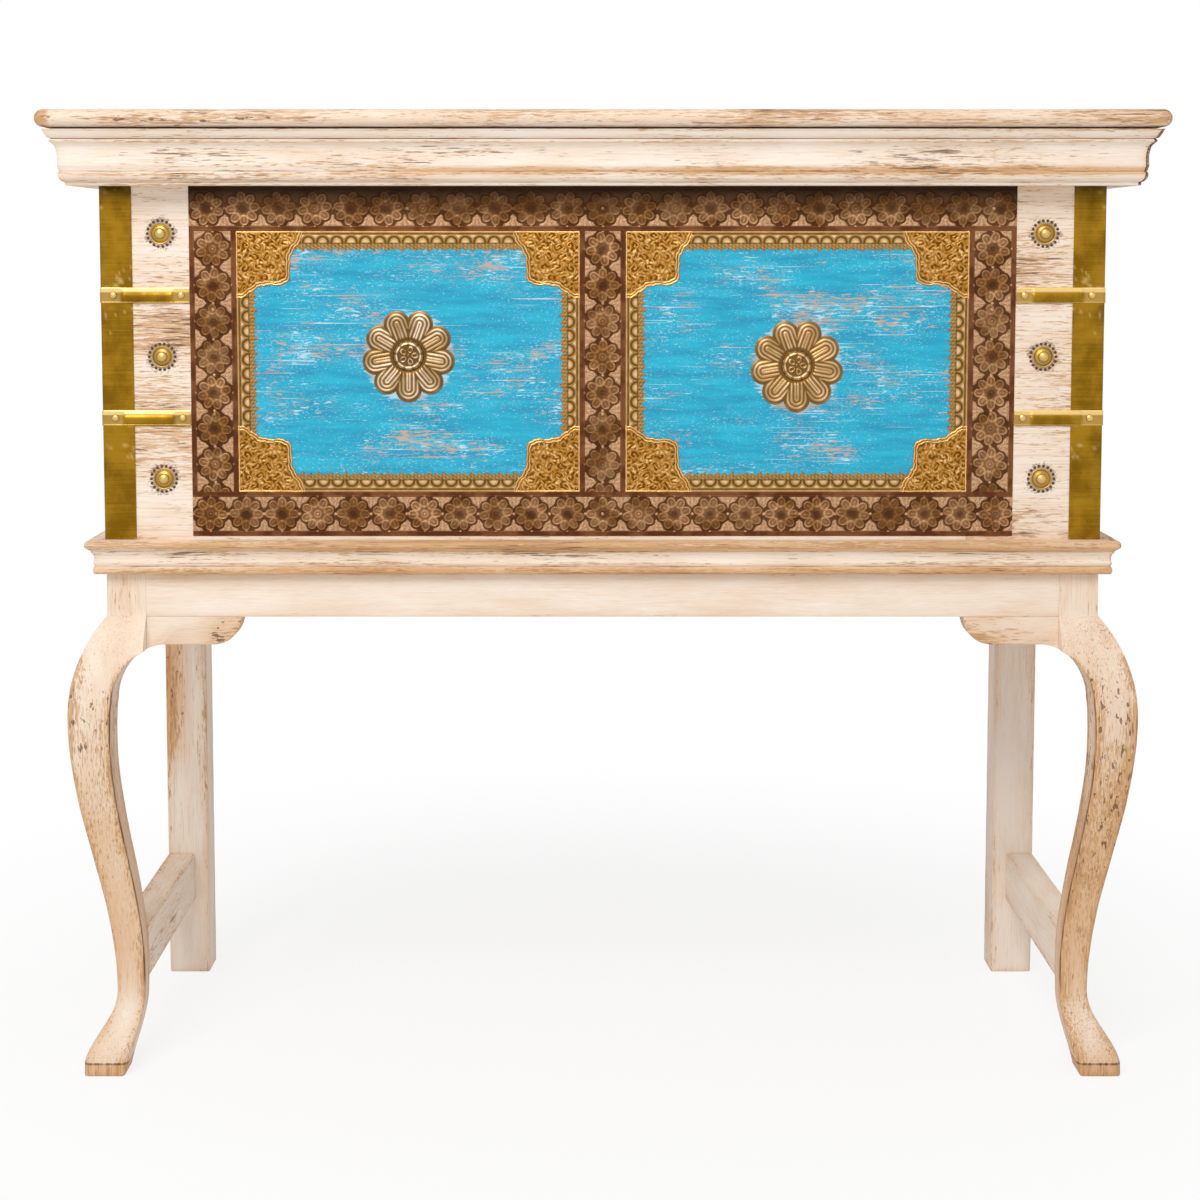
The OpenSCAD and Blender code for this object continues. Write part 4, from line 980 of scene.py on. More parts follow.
def flower_strip(length, width, seed):
    """Height and tones over a strip, on a grid with u along it from 0 and v across it from the middle. r is
    the distance from the flower's middle and oval that from the petal's, squeezed along the petal; outside
    is below 0 within the petals. Each line is a ridge where one of these distances has a set value."""
    u, v = np.meshgrid(np.linspace(0, length, int(length / 0.8)),
                       np.linspace(-width / 2, width / 2, int(width / 0.66)))
    which = np.clip((u // PITCH).astype(int), 0, MOST_FLOWERS - 1)
    draw = np.random.default_rng(seed)
    tilt, worn, button = (draw.uniform(low, high, MOST_FLOWERS)
                          for low, high in ((-0.3, 0.3), (0.15, 1.0), (-1, 1)))
    du = u - (which + 0.5) * PITCH
    r, a = np.hypot(du, v), np.arctan2(v, du) + tilt[which]
    share = 2 * np.pi / PETALS
    fold = (a + share / 2) % share - share / 2
    petal_u, petal_v = r * np.cos(fold) - PETAL_AT, r * np.sin(fold)
    oval = np.hypot(petal_u / PETAL_LONG, petal_v)
    outside = np.minimum(oval - PETAL_R, r - HEART_R)
    in_flower, rim = smooth_step(-outside / 0.7), ridge(outside - 0.5, 0.75)
    petal_line = ridge(oval - PETAL_RING, 0.62)
    vein = ridge(petal_v, 0.6) * ((petal_u > -4.4) & (petal_u < 1.6))
    eye, eye_ring = smooth_step((BUTTON_R - r) / STEP), ridge(r - BUTTON_RING, 0.7)
    shown = np.clip(button[which], 0, 1)
    half_field = width / 2 - BAND
    edge_gap = half_field - np.abs(v)
    across = np.abs(PITCH / 2 - np.abs(du))
    fan_half = FAN_HALF * (1 - np.clip(edge_gap / FAN_TALL, 0, 1) ** 1.3)
    palmette = (smooth_step((outside - 0.9) / 0.7) * smooth_step((fan_half - across) / STEP)
                * smooth_step(edge_gap / 0.5))
    leaf = 0.5 + 0.5 * np.cos(np.arctan2(across, 13 - edge_gap) * 14)
    bead = smooth_step((1.7 - np.hypot(across, v)) / STEP)
    bead = np.maximum(bead, 0.8 * smooth_step((1.5 - np.hypot(du, edge_gap + 0.6)) / STEP))
    band = smooth_step(-edge_gap / 0.6)
    rail = ridge(edge_gap + 0.8, 0.5) + 0.6 * ridge(edge_gap + BAND - 0.9, 0.5)
    smear = 0.5 + 0.5 * ripple(u + 1.7 * v, 41, seed + 7)
    wear = worn[which] * (0.38 + 0.7 * smear)
    crest = in_flower * (0.16 + 0.14 * smear + petal_line * (0.22 + 0.6 * wear) + 0.6 * vein * wear
                         + shown * (0.9 * eye + 0.6 * eye_ring)) - (1 - shown) * ridge(r, 4.4) * 0.3
    crest = np.clip(crest + 0.8 * bead + 0.35 * rail - 0.7 * rim * (1 - palmette), 0, 1)
    height = (0.3 + in_flower * (0.2 + 0.4 * petal_line + 0.25 * vein + 0.3 * eye_ring + 0.3 * eye)
              + palmette * (0.2 + 0.15 * leaf) + 0.5 * bead * (1 - in_flower) + 0.2 * rail + 0.1 * band)
    height += 0.06 * ripple(u * 0.7 + v * 1.9, 17, seed)
    pale = np.maximum(palmette * (0.55 + 0.3 * leaf + 0.15 * smear), 0.8 * bead)
    tones = {"crest": crest, "pale": pale, "band": band * 0.9}
    return u, v, np.clip(height, 0.15, 1.2), tones


print("flowers on a strip 864 mm long:", int(864 // PITCH))

# %% The five strips
# Where the soot and painted shade under the cornice begin.
SOOT_AND_SHADE_TOP = 897


def under_cornice(z):
    """Soot that no cloth reaches, and painted shade where the cornice overhangs: a bell 7 mm wide just under
    the cornice, and a step that is gone 37 mm down."""
    return 0.55 * ridge(np.clip(SOOT_AND_SHADE_TOP - z, 0, None), 7) + 0.36 * smooth_step((z - SOOT_AND_SHADE_TOP + 37) / 34)


def pressed_strip(node, along, seed):
    """A flower strip in its node's place, along x, or along z for an upright one."""
    low, high = box_mm(node)
    middle, size = (low + high) / 2, high - low
    u, v, height, tones = flower_strip(size[along], size[2 - along], seed)
    places = (low[0] + u, middle[2] + v) if along == 0 else (middle[0] + v, high[2] - u)
    points = relief_sheet(*places, height, on_front)
    tones = {key: with_back(tone) for key, tone in tones.items()}
    # Soot and painted shade under the cornice, kept as an attribute.
    tones["soot"] = under_cornice(points[..., 2])
    # Near the cornice the palmettes are less pale and the ridges less bright: painted shade, with soot.
    sooted = smooth_step((points[..., 2] - SOOT_AND_SHADE_TOP + 31) / 12)
    tones["pale"], tones["crest"] = tones["pale"] * (1 - 0.9 * sooted), tones["crest"] * (1 - 0.3 * sooted)
    skin(node + "_pressed", points, *relief_faces(*u.shape), copper, "dark_copper", [node], **tones)


for seed, where in enumerate(("top", "bottom", "left", "middle", "right"), 51):
    pressed_strip("strip_" + where, 0 if where in ("top", "bottom") else 2, seed)

# %% [markdown]
# ## The gilt border
#
# Each panel is framed by a stamped gilt edging. From the outside in it has a fine line, a row of arches
# with a small dome in each, and a feathered fringe that ends raggedly over the turquoise. One arch could
# be modelled and repeated, but then the torn fringe would repeat with it. So the grid is laid between the
# straight outer edge and the ragged inner one, with its ends mitred.

# %% One side of the gilt edging
# The arches' spacing, and how far their middles lie from the outer edge; the radii of the dome, the groove
# round it and the hoop; where the arches end and the fringe begins, its least depth, and its feathers'
# spacing; and how much of each run lies under the spandrels.
ARCH_PITCH, ARCH_AT = 14.2, 11.3
DOME_R, GROOVE_R, HOOP_R = 5.2, 5.4, 7.2
ARCH_FOOT, FRINGE_FROM, FRINGE_DEPTH, FEATHER_PITCH = 12.0, 12.2, 16.6, 3.55
HIDDEN_RUN = 50
PANEL_LOW_Z, PANEL_TOP_Z = 593.5, 854.0
PANEL_IN, PANEL_OUT = 22.75, 364.75
PANEL_X, PANEL_Z = (PANEL_IN + PANEL_OUT) / 2, (PANEL_LOW_Z + PANEL_TOP_Z) / 2
PANEL_W, PANEL_TALL = PANEL_OUT - PANEL_IN, PANEL_TOP_Z - PANEL_LOW_Z
MITRE_RUN = 17.5


def from_arch(run):
    """The distance along the edging from the middle of the nearest arch, with its sign."""
    return (run + ARCH_PITCH / 2) % ARCH_PITCH - ARCH_PITCH / 2


def edging_run(length, seed):
    """Run along the side, inset from the outer edge, height and crest. The first guess of the run gives the
    ragged depth; the inset then moves the run inwards, as a mitred end does. Lines of the arch are ridges
    at set distances from its middle, the dome is half a ball, and the fringe a cosine along the run."""
    part, share = np.meshgrid(np.linspace(0, 1, int(length / 0.75)), np.linspace(0, 1, 30))
    run = part * (length - 2 * MITRE_RUN) + MITRE_RUN
    along = from_arch(run)
    foot = ARCH_PITCH / 2 - np.abs(along)
    ragged = 0.9 * ripple(run, 9, seed) + 0.6 * ripple(run, 3.7, seed + 20)
    depth = FRINGE_DEPTH + 3.6 * ridge(foot, 2.4) + 2.6 * ridge(along, 1.9) + ragged
    inset = share * depth
    run = part * (length - 2 * inset) + inset
    along = from_arch(run)
    line = ridge(inset - 1.0, 0.7)
    arch_r = np.hypot(along, inset - ARCH_AT)
    above = smooth_step((ARCH_FOOT - inset) / STEP)
    hoop, groove = (ridge(arch_r - radius, STEP) * above for radius in (HOOP_R, GROOVE_R))
    dome = np.sqrt(np.clip(1 - (arch_r / DOME_R) ** 2, 0, 1)) * above
    spandrel_leaf = smooth_step((inset - 3.4) / STEP) * smooth_step((arch_r - 7.6) / STEP) * above
    low = smooth_step((inset - FRINGE_FROM) / STEP)
    feather = (0.5 + 0.5 * np.cos(2 * np.pi * run / FEATHER_PITCH)) * low
    tear = (0.5 + 0.5 * ripple(run * 1.3 + inset * 2.1, 7, seed + 40)) * low
    crest = (0.14 + 0.7 * line + 0.4 * hoop + 0.75 * dome + 0.7 * spandrel_leaf + 0.5 * feather * tear
             + 0.3 * tear)
    height = (0.3 + 0.3 * line + 0.2 * hoop + 0.22 * dome + 0.2 * spandrel_leaf + 0.2 * feather
              - 0.15 * groove)
    return run, inset, np.clip(height, 0.15, 0.98), np.clip(crest - 0.5 * groove, 0, 1)


print("arches on a long side:", int(PANEL_W / ARCH_PITCH))

# %% Gilt edging


def joined(shapes):
    """Points, quads and caps of several closed shapes as one: the numbers in each shape's faces count on
    from the points before it."""
    points, quads, caps, count = [], [], [], 0
    for sheet, faces, ends in shapes:
        points.append(sheet.reshape(-1, 3))
        quads.append(faces + count)
        caps += [[i + count for i in end] for end in ends]
        count += len(points[-1])
    return np.concatenate(points), np.concatenate(quads), caps


def edging(side):
    """Four runs round the panel, each turned a quarter further; each shortens with the inset, as a mitre
    does. Under the spandrels the foil is pressed flat."""
    shapes, crests = [], []
    for k in range(4):
        length, reach = (PANEL_W, PANEL_TALL / 2) if k % 2 == 0 else (PANEL_TALL, PANEL_W / 2)
        run, inset, height, crest = edging_run(length, 60 + k)
        along, turn = run - length / 2, k * np.pi / 2

        def place(u, v, h):
            """Turned by the run's angle about the panel's middle."""
            return on_front(SIDES[side] * PANEL_X + np.cos(turn) * u - np.sin(turn) * v,
                            PANEL_Z + np.sin(turn) * u + np.cos(turn) * v, h)

        under = smooth_step((length / 2 - HIDDEN_RUN - np.abs(along)) / 8)
        sheet = relief_sheet(along, inset - reach, 0.2 + (height - 0.2) * under, place)
        shapes.append((sheet, *relief_faces(*run.shape)))
        crests.append(with_back(crest).ravel())
    skin(f"edging_{side}_stamped", *joined(shapes), edging_gilt, "gilt_foil", ["edging_" + side],
         crest=np.concatenate(crests))


for side in SIDES:
    edging(side)

# %% [markdown]
# ## Corner spandrels
#
# A spandrel of scrolling leaves fills each corner of the panel. Its stepped inner edge bulges on the
# diagonal. The grid fans out from the corner by angle and reach. Each curl is a spiral ridge: the
# height follows the cosine of distance over pitch, less the angle. Leaflets ring each curl. Leaves could
# be drawn one by one as curves, but a field of curls fills the corner evenly and is changed in one place.

# %% Scrollwork
CURL_GAP, CURL_REACH = 12.4, 74
SPIRAL_PITCH, SPIRAL_R, LEAFLET_R = 4.3, 6.6, 7.4


def curl_centres():
    """Curls on a net of equal triangles, each moved a little by a seeded draw, with its hand and phase.
    Every other row is shifted by half a gap, and rows lie 0.866 of a gap apart."""
    row, column = (grid.ravel() for grid in np.meshgrid(np.arange(8), np.arange(7), indexing="ij"))
    draw = np.random.default_rng(72)
    x = (column + 0.5 * (row % 2)) * CURL_GAP + draw.uniform(-1.6, 1.6, len(row)) + 4
    y = row * CURL_GAP * 0.866 + draw.uniform(-1.6, 1.6, len(row)) + 4
    hand, phase = draw.choice([-1, 1], len(row)), draw.uniform(0, 2 * np.pi, len(row))
    near = np.hypot(x, y) < CURL_REACH
    return x[near], y[near], hand[near], phase[near]


def scrollwork(x, y):
    """The highest of all curls at each point: a spiral within its radius and leaflets round it."""
    best = np.full_like(x, 0.05)
    for cx, cy, hand, phase in zip(*curl_centres()):
        r, a = np.hypot(x - cx, y - cy), np.arctan2(y - cy, x - cx)
        spiral = (0.5 + 0.5 * np.cos(2 * np.pi * r / SPIRAL_PITCH - hand * a + phase)) ** 1.4
        spiral *= smooth_step((SPIRAL_R - r) / 1.4)
        leaflet = np.abs(np.cos(3 * a + phase + hand * r * 0.45)) ** 2.4 * ridge(r - LEAFLET_R, 2.0)
        best = np.maximum(best, np.maximum(spiral * 0.9, leaflet))
    return best


print("curls in a spandrel:", len(curl_centres()[0]))

# %% Spandrels
SPANDREL_R, SPANDREL_W, SPANDREL_TALL = 63.5, 66.0, 70.0


def spandrels(side):
    """Four fans, one to a corner, each mirrored towards the panel's middle. The inner edge is a radius
    plus a cosine of eight times the angle from the diagonal and a bulge on it. Every place is bent by
    ripples before the scrollwork is read there, so no two curls are alike."""
    angle, share = np.meshgrid(np.linspace(0, np.pi / 2, 124), np.linspace(0, 1, 72))
    middle = angle - np.pi / 4
    edge = (SPANDREL_R + 3.6 * np.cos(8 * middle) + 4.4 * ridge(middle, 0.15)
            + 0.8 * ripple(angle * 60, 11, 71))
    reach = 1.0 + share * (edge - 1.0)
    x = np.minimum(reach * np.cos(angle), SPANDREL_W)
    y = np.minimum(reach * np.sin(angle), SPANDREL_TALL)
    inside = edge - reach
    rim = np.maximum(ridge(inside - 1.1, 0.9), ridge(inside - 3.9, 0.9))
    border = np.maximum(ridge(x - 0.9, 0.7), ridge(y - 0.9, 0.7))
    bent_x, bent_y = x + 2.2 * ripple(y + 0.4 * x, 19, 74), y + 2.2 * ripple(x - 0.5 * y, 23, 75)
    leaves = scrollwork(bent_x, bent_y) * (0.85 + 0.3 * ripple(x, 29, 73) * ripple(y, 23, 76))
    leaves *= smooth_step((inside - 4.8) / 1.2)
    crest = np.clip(np.maximum(leaves, np.maximum(rim, border)), 0, 1)
    faces, ends = relief_faces(*x.shape)
    shapes = []
    for to_x in (1, -1):
        for to_z in (1, -1):
            sheet = relief_sheet(SIDES[side] * PANEL_X - to_x * (PANEL_W / 2 - x),
                                 PANEL_Z - to_z * (PANEL_TALL / 2 - y), 0.4 + 0.6 * crest, on_front)
            turned_over = to_x * to_z < 0
            shapes.append((sheet, faces[:, ::-1], [end[::-1] for end in ends]) if turned_over
                          else (sheet, faces, ends))
    skin(f"spandrels_{side}_stamped", *joined(shapes), gilt, "gilt_foil", ["spandrels_" + side],
         crest=np.tile(with_back(crest).ravel(), len(shapes)))


for side in SIDES:
    spandrels(side)

# %% [markdown]
# ## Rosettes
#
# A rosette of nine long petals is nailed to the middle of each panel. A petal is everything within a
# set distance of a line that runs out from the centre, so its tip is a half circle, and the nested
# ridges are curves of equal distance. The boss has a raised ring with a small five-leaved flower in it.
# One petal could be modelled and copied nine times, but the copies would need joining to be one closed
# foil. Folding the angle into one petal's share shapes them all on a single grid.

# %% Rosettes
ROSETTE_PETALS, ROSETTE_R = 9, 46.4
PETAL_LINE, PETAL_HALF = 33.6, 13.0
# How far the nested ridges lie from a petal's line; the radii of the boss, its ring and its outer line; and
# the leaves of its small flower, with how far out their middles lie and their rings' radius.
NESTED = (9.0, 5.2, 1.3)
BOSS_R, BOSS_RING, BOSS_LINE = 15.6, 12.0, 14.6
BOSS_LEAVES, LEAF_AT, LEAF_RING = 5, 6.2, 2.1
ROSETTE_X, ROSETTE_LEFT_Z, ROSETTE_RIGHT_Z = 193.75, 730.25, 720.25


def rosette(side, centre_x, centre_z, seed, finish):
    """A polar grid from the middle to the scalloped outline, then one more ring back on the wood. The
    outline is where a ray leaves the half circle about the petal line's end: the line times the cosine of
    the folded angle, plus the root of the petal's half width squared less (the line times the sine)
    squared. The petals bulge as half a tube, and the boss is a step with ridges on it."""
    angle = np.linspace(0, 2 * np.pi, ROSETTE_PETALS * 28, endpoint=False)
    share = 2 * np.pi / ROSETTE_PETALS
    fold = (angle + np.pi / 2 + share / 2) % share - share / 2
    tip, half_wide = PETAL_LINE, PETAL_HALF
    edge = tip * np.cos(fold) + np.sqrt(np.clip(half_wide ** 2 - (tip * np.sin(fold)) ** 2, 0, None))
    edge = np.minimum(edge, ROSETTE_R)
    reach = 0.4 + np.linspace(0, 1, 74)[:, None] * (edge[None] - 0.4)
    along, beside = reach * np.cos(fold), reach * np.sin(fold)
    from_line = np.where(along < tip, np.abs(beside), np.hypot(along - tip, beside))
    lines = sum(ridge(from_line - d, 1.15) for d in NESTED) * smooth_step((reach - 16.5) / 3)
    rim = ridge(edge - reach - 0.9, 0.9) * 0.35
    valley = ridge(np.abs(fold) * reach - share / 2 * reach, 1.1)
    boss = smooth_step((BOSS_R - reach) / 1.6)
    boss_ring = ridge(reach - BOSS_RING, 1.0) + 0.6 * ridge(reach - BOSS_LINE, 0.7)
    leaf_share = 2 * np.pi / BOSS_LEAVES
    leaf = (angle + leaf_share / 2) % leaf_share - leaf_share / 2
    leaf_r = np.hypot((reach * np.cos(leaf) - LEAF_AT) / 1.3, reach * np.sin(leaf))
    leaves = ridge(leaf_r - LEAF_RING, 0.7) + 0.8 * smooth_step(2.0 - reach)
    worn = 0.8 + 0.2 * ripple(angle * 30, 40, seed)
    crest = (lines + rim) * worn * (1 - boss) + boss * (boss_ring + 0.85 * leaves) - 0.5 * valley
    bulge = 1.1 * np.sqrt(np.clip(1 - (from_line / half_wide) ** 2, 0, 1)) * smooth_step((reach - 12) / 8)
    height = 0.5 + (bulge + 0.7 * lines) * (1 - boss) + boss * (2.0 + 0.9 * boss_ring + 0.9 * leaves)
    crest, height = np.clip(crest, 0, 1), np.clip(height, 0.3, 5.4)
    reach = np.concatenate([reach, reach[-1:]])
    height = np.concatenate([height, height[-1:] * 0])
    points = on_front(centre_x + reach * np.cos(angle), centre_z + reach * np.sin(angle), height)
    quads, caps = tube_faces(*reach.shape)
    skin(f"rosette_{side}_stamped", points, quads, caps, finish, "gilt_foil", ["rosette_" + side],
         crest=np.concatenate([crest, crest[-1:] * 0]))


rosette("left", -ROSETTE_X, ROSETTE_LEFT_Z, 81, rosette_pale)
rosette("right", ROSETTE_X, ROSETTE_RIGHT_Z, 82, rosette_brown)

# %% [markdown]
# ## Brass corner plates and straps
#
# The plate is one sheet folded round the corner, and lies a little unevenly on the wood. A strap is
# hammered over it: bright rolled edges, a groove inside each, and a round rib that dies out before the
# nail at either end. Both could be cut as rounded boxes, but here they are made flat and then bent, by
# giving every point a place along the fold, so the rib and the wear run on round the corner as in metal.

# %% Brass corner plates
PLATE_T, PLATE_OUT, BEND = 1.0, 500.0, 2.0
QUARTER = BEND * np.pi / 2
PLATE_FROM, PLATE_SIDE = 468.0, 30.0
PLATE_FOOT, PLATE_TOP = 545.7, 898.3


def folded(run, height):
    """A flat run bent round the right corner: x and y for the distance past the bend's start, which is
    negative on the front, and for the height off the plate's face. The bend is a quarter circle."""
    turn = np.clip(run / BEND, 0, np.pi / 2)
    straight_front, straight_side = np.minimum(run, 0), np.maximum(run - QUARTER, 0)
    x = PLATE_OUT - BEND + straight_front + (BEND + height) * np.sin(turn)
    y = FRONT - PLATE_T + BEND - (BEND + height) * np.cos(turn) + straight_side
    return x, y


def round_corner(side, low=0.0):
    """Gives the function that sets a sheet round one corner of the box, its upward places counted from
    low."""
    def place(u, v, h):
        """The folded place, with x the other way round on the left."""
        x, y = folded(u, h)
        return at(SIDES[side] * x, y, low + v)
    return place


def run_over(begin, finish, counts):
    """Places along a folded run: so many on the front, round the bend and on the side."""
    return np.concatenate([np.linspace(begin, 0, counts[0]), np.linspace(0, QUARTER, counts[1])[1:],
                           np.linspace(QUARTER, finish, counts[2])[1:]])


def corner_plate(side):
    """A sheet that dips from its true face by up to half a millimetre, by two ripples, and has bright
    scratches where a third ripple passes a set value."""
    run = run_over(PLATE_FROM - PLATE_OUT + BEND, QUARTER + PLATE_SIDE, (22, 8, 22))
    run, z = np.meshgrid(run, np.linspace(PLATE_FOOT, PLATE_TOP, 120), indexing="ij")
    sag = 0.22 * (1 + ripple(z + 3 * run, 90, 91)) * (run < 0) + 0.1 * (1 + ripple(z * 1.3 - run, 23, 92))
    height = -0.5 * sag * smooth_step(np.abs(run - 1.5) / 6)
    points = relief_sheet(run, z, height, round_corner(side), -PLATE_T + 0.02)
    scratched = ridge(ripple(z + 0.6 * run, 46, 93) * 9 + ripple(z, 130, 94) * 30 - 12, 0.8) * 0.4
    # The plate's top is darkened under the cornice: soot and painted shade.
    skin(f"corner_plate_{side}_folded", points, *relief_faces(*run.shape), brass_plate, "old_brass",
         ["corner_plate_" + side], soot=under_cornice(points[..., 2]) * 0.9, crest=with_back(scratched))


plate_wide = PLATE_OUT - PLATE_FROM - BEND + QUARTER + PLATE_SIDE
print("a plate's flat sheet:", round(plate_wide, 1), "by", round(PLATE_TOP - PLATE_FOOT, 1), "mm")

# %% Brass straps
STRAP_HALF, STRAP_Z = 7.75, (ROW_Z - ROW_STEP, ROW_Z + ROW_STEP)
STRAP_END, STRAP_SIDE_END = 411.75, -77.25
# The rib's first and last distance from the corner, its height, half its width, and how far its middle
# lies below the strap's.
RIB_FROM, RIB_TO = 18.1, 73.2
RIB_TALL, RIB_HALF, RIB_BELOW = 1.7, 4.6, 1.6
STRAP_COUNTS = (88, 10, 86)


def straps(side):
    """Two strips round the corner. Across a strip the height is a flat with rounded edges, half an ellipse
    for the rib, a shoulder above it and a small lip below; the rib and shoulder die out by steps near the
    corner and before the nails."""
    begin = STRAP_END - PLATE_OUT + BEND
    finish = QUARTER + STRAP_SIDE_END - (FRONT - PLATE_T + BEND)
    across, run = np.meshgrid(np.linspace(-STRAP_HALF, STRAP_HALF, 34), run_over(begin, finish, STRAP_COUNTS))
    from_corner = np.where(run < 0, BEND - run - 1, np.where(run > QUARTER, run - QUARTER + BEND - 1, 0))
    on = smooth_step((from_corner - RIB_FROM) / 4) * smooth_step((RIB_TO - from_corner) / 4)
    rib = RIB_TALL * np.sqrt(np.clip(1 - ((across + RIB_BELOW) / RIB_HALF) ** 2, 0, 1)) * on
    shoulder = smooth_step(across - 2.4) * smooth_step((STRAP_HALF - across) / 4.5)
    lip = ridge(across + 6.9, 0.5)
    rounded = smooth_step((STRAP_HALF - np.abs(across)) / 0.8)
    height = 0.35 + 0.45 * rounded + 0.9 * shoulder * on + 0.2 * lip + rib
    # The upper shoulder is brightest: rubbed metal, with a painted highlight where it faces the light above;
    # the lower lip is a little brighter.
    crest = np.clip(0.8 * smooth_step(across - 2.6) + 0.3 * lip + 0.25 * (1 - on), 0, 1)
    shapes = [(relief_sheet(run, across, height, round_corner(side, z), -PLATE_T + 0.05),
               *relief_faces(*run.shape)) for z in STRAP_Z]
    skin(f"straps_{side}_hammered", *joined(shapes), brass_worn, "old_brass", ["straps_" + side],
         crest=np.tile(with_back(crest).ravel(), len(shapes)))


for side in SIDES:
    corner_plate(side)
    straps(side)

# %% [markdown]
# ## Studs, nails and punch marks
#
# These small fasteners are all turned shapes: a profile of radius and height spun about its axis. One
# shape is made once and set at every place by a small frame of three directions. Copies could be separate
# objects, but one mesh takes the place of one CAD piece. Round each stud the maker punched a ring of dots
# with a hot point, here low dark buttons scarcely proud of the paint.

# %% Turned shapes and their copies
TO_FRONT = ((1, 0, 0), (0, 0, 1), (0, -1, 0))
TO_RIGHT = ((0, 1, 0), (0, 0, 1), (1, 0, 0))
TO_LEFT = ((0, -1, 0), (0, 0, 1), (-1, 0, 0))


def turned(profile, around):
    """Rings of a profile (radius, height) spun about its axis: x and y are the radius times the cosine and
    sine of the turn."""
    profile = np.asarray(profile, float)
    a = np.arange(around) * 2 * np.pi / around
    rings = np.stack([profile[:, :1] * np.cos(a), profile[:, :1] * np.sin(a),
                      np.broadcast_to(profile[:, 1:], (len(profile), around))], -1)
    return rings.reshape(-1, 3), *tube_faces(len(profile), around)


def set_copies(name, shape, places, finish, slot, nodes, crest=None):
    """One mesh with the shape at every place: a point is the place's origin plus its three directions
    times the shape's coordinates. crest has one value for each ring."""
    local, quads, caps = shape
    points = np.concatenate([np.array(origin) + local @ np.array(axes, float) for origin, axes in places])
    offsets = np.arange(len(places)) * len(local)
    faces = (quads[None] + offsets[:, None, None]).reshape(-1, 4)
    ends = [[i + int(o) for i in cap] for o in offsets for cap in caps]
    tones = {}
    if crest is not None:
        tones["crest"] = np.tile(np.repeat(crest, len(local) // len(crest)), len(places))
    return skin(name, points, faces, ends, finish, slot, nodes, **tones)


def dome_profile(radius, rise, base, count):
    """A dome's profile from its foot to near its top: at a share s of the rise, the radius times the root
    of 1 - s squared."""
    t = np.linspace(0, 0.96, count)
    return ([(radius * math.sqrt(1 - s * s), base + rise * s) for s in t]
            + [(radius * 0.12, base + rise * 0.995)])


print("a dome of 5 mm radius:", [tuple(round(float(c), 2) for c in p) for p in dome_profile(5, 2, 0, 3)])

# %% Studs, nails and tacks
STUD_Z = (ROW_Z - 2 * ROW_STEP, ROW_Z, ROW_Z + 2 * ROW_STEP)
stud_foot = [(10.6, 0.0), (10.6, 0.5), (10.1, 0.9), (9.3, 0.5), (8.6, 0.6)]
stud_profile = stud_foot + dome_profile(8.3, 1.9, 0.8, 5)[:4] + dome_profile(5.4, 3.0, 2.4, 6)
stud_places = [((sign * STUD_X, FRONT, z), TO_FRONT) for sign in SIDES.values() for z in STUD_Z]
stud_crest = np.concatenate([(0.2, 0.5, 0.6, 0.0, 0.0), np.full(4, 0.3), np.linspace(0.2, 0.8, 7)])
set_copies("studs_domed", turned(stud_profile, 32), stud_places, brass_worn, "old_brass", ["studs"],
           stud_crest)

NAIL_X, NAIL_Y, NAIL_FRONT, NAIL_SIDE = (487.0, 419.75), (-152.5, -85.25), -166.3, 500.8
nail_places = []
for z in STRAP_Z:
    for sign, to_side in ((-1, TO_LEFT), (1, TO_RIGHT)):
        nail_places += [((sign * x, NAIL_FRONT, z), TO_FRONT) for x in NAIL_X]
        nail_places += [((sign * NAIL_SIDE, y, z), to_side) for y in NAIL_Y]
nail_profile = [(3.8, 0.0)] + dome_profile(3.8, 2.0, 0.25, 5)
set_copies("strap_nails_domed", turned(nail_profile, 16), nail_places, brass_worn, "old_brass",
           ["strap_nails"], np.linspace(0.1, 0.9, len(nail_profile)))

TACK_X, TACKS_LEVEL, TACKS_UPRIGHT = 194, (571.25, 876.25), (671.65, 775.85)
tack_places = [((TACK_X * step, FRONT, z), TO_FRONT) for step in (-2, -1, 0, 1, 2) for z in TACKS_LEVEL]
tack_places += [((TACK_X * step, FRONT, z), TO_FRONT) for step in (-2, 0, 2) for z in TACKS_UPRIGHT]
tack_profile = [(2.0, 0.3), (2.0, 1.5)] + dome_profile(2.0, 0.5, 1.5, 3)[1:]
set_copies("strip_nails_small", turned(tack_profile, 12), tack_places, copper, "dark_copper", ["strip_nails"],
           np.linspace(0, 1, len(tack_profile)))

# %% Punched dots round the studs
DOTS, DOT_RING = 18, 12.9


def scorched_wood():
    """Wood burnt by a hot punch: to the eye a dark brown and quite dull."""
    material, tree, place = new_finish("scorched_wood_punch_marks", 0.8)
    char = mottle(tree, place, (2, 2, 2), 2.0)
    return coated(material, add(tree, "MixRGB", char, linear("4A3020"), linear("6A4A30")))


dot_places = [((x + DOT_RING * math.cos(a), FRONT - 0.02, z + DOT_RING * math.sin(a)), TO_FRONT)
              for (x, _, z), _ in stud_places for a in np.arange(DOTS) * 2 * np.pi / DOTS]
set_copies("stud_punch_marks", turned([(1.6, 0.0), (1.3, 0.25), (0.4, 0.4)], 8), dot_places, scorched_wood(),
           "white_painted_wood", [])

# %% [markdown]
# ## Finishes for the boards kept from the CAD model
#
# Plain flat boards, the hinges and the hidden dowels could be built again by formula, but they already
# have the right shape. So they keep their own meshes and only get a finish in their material slots.

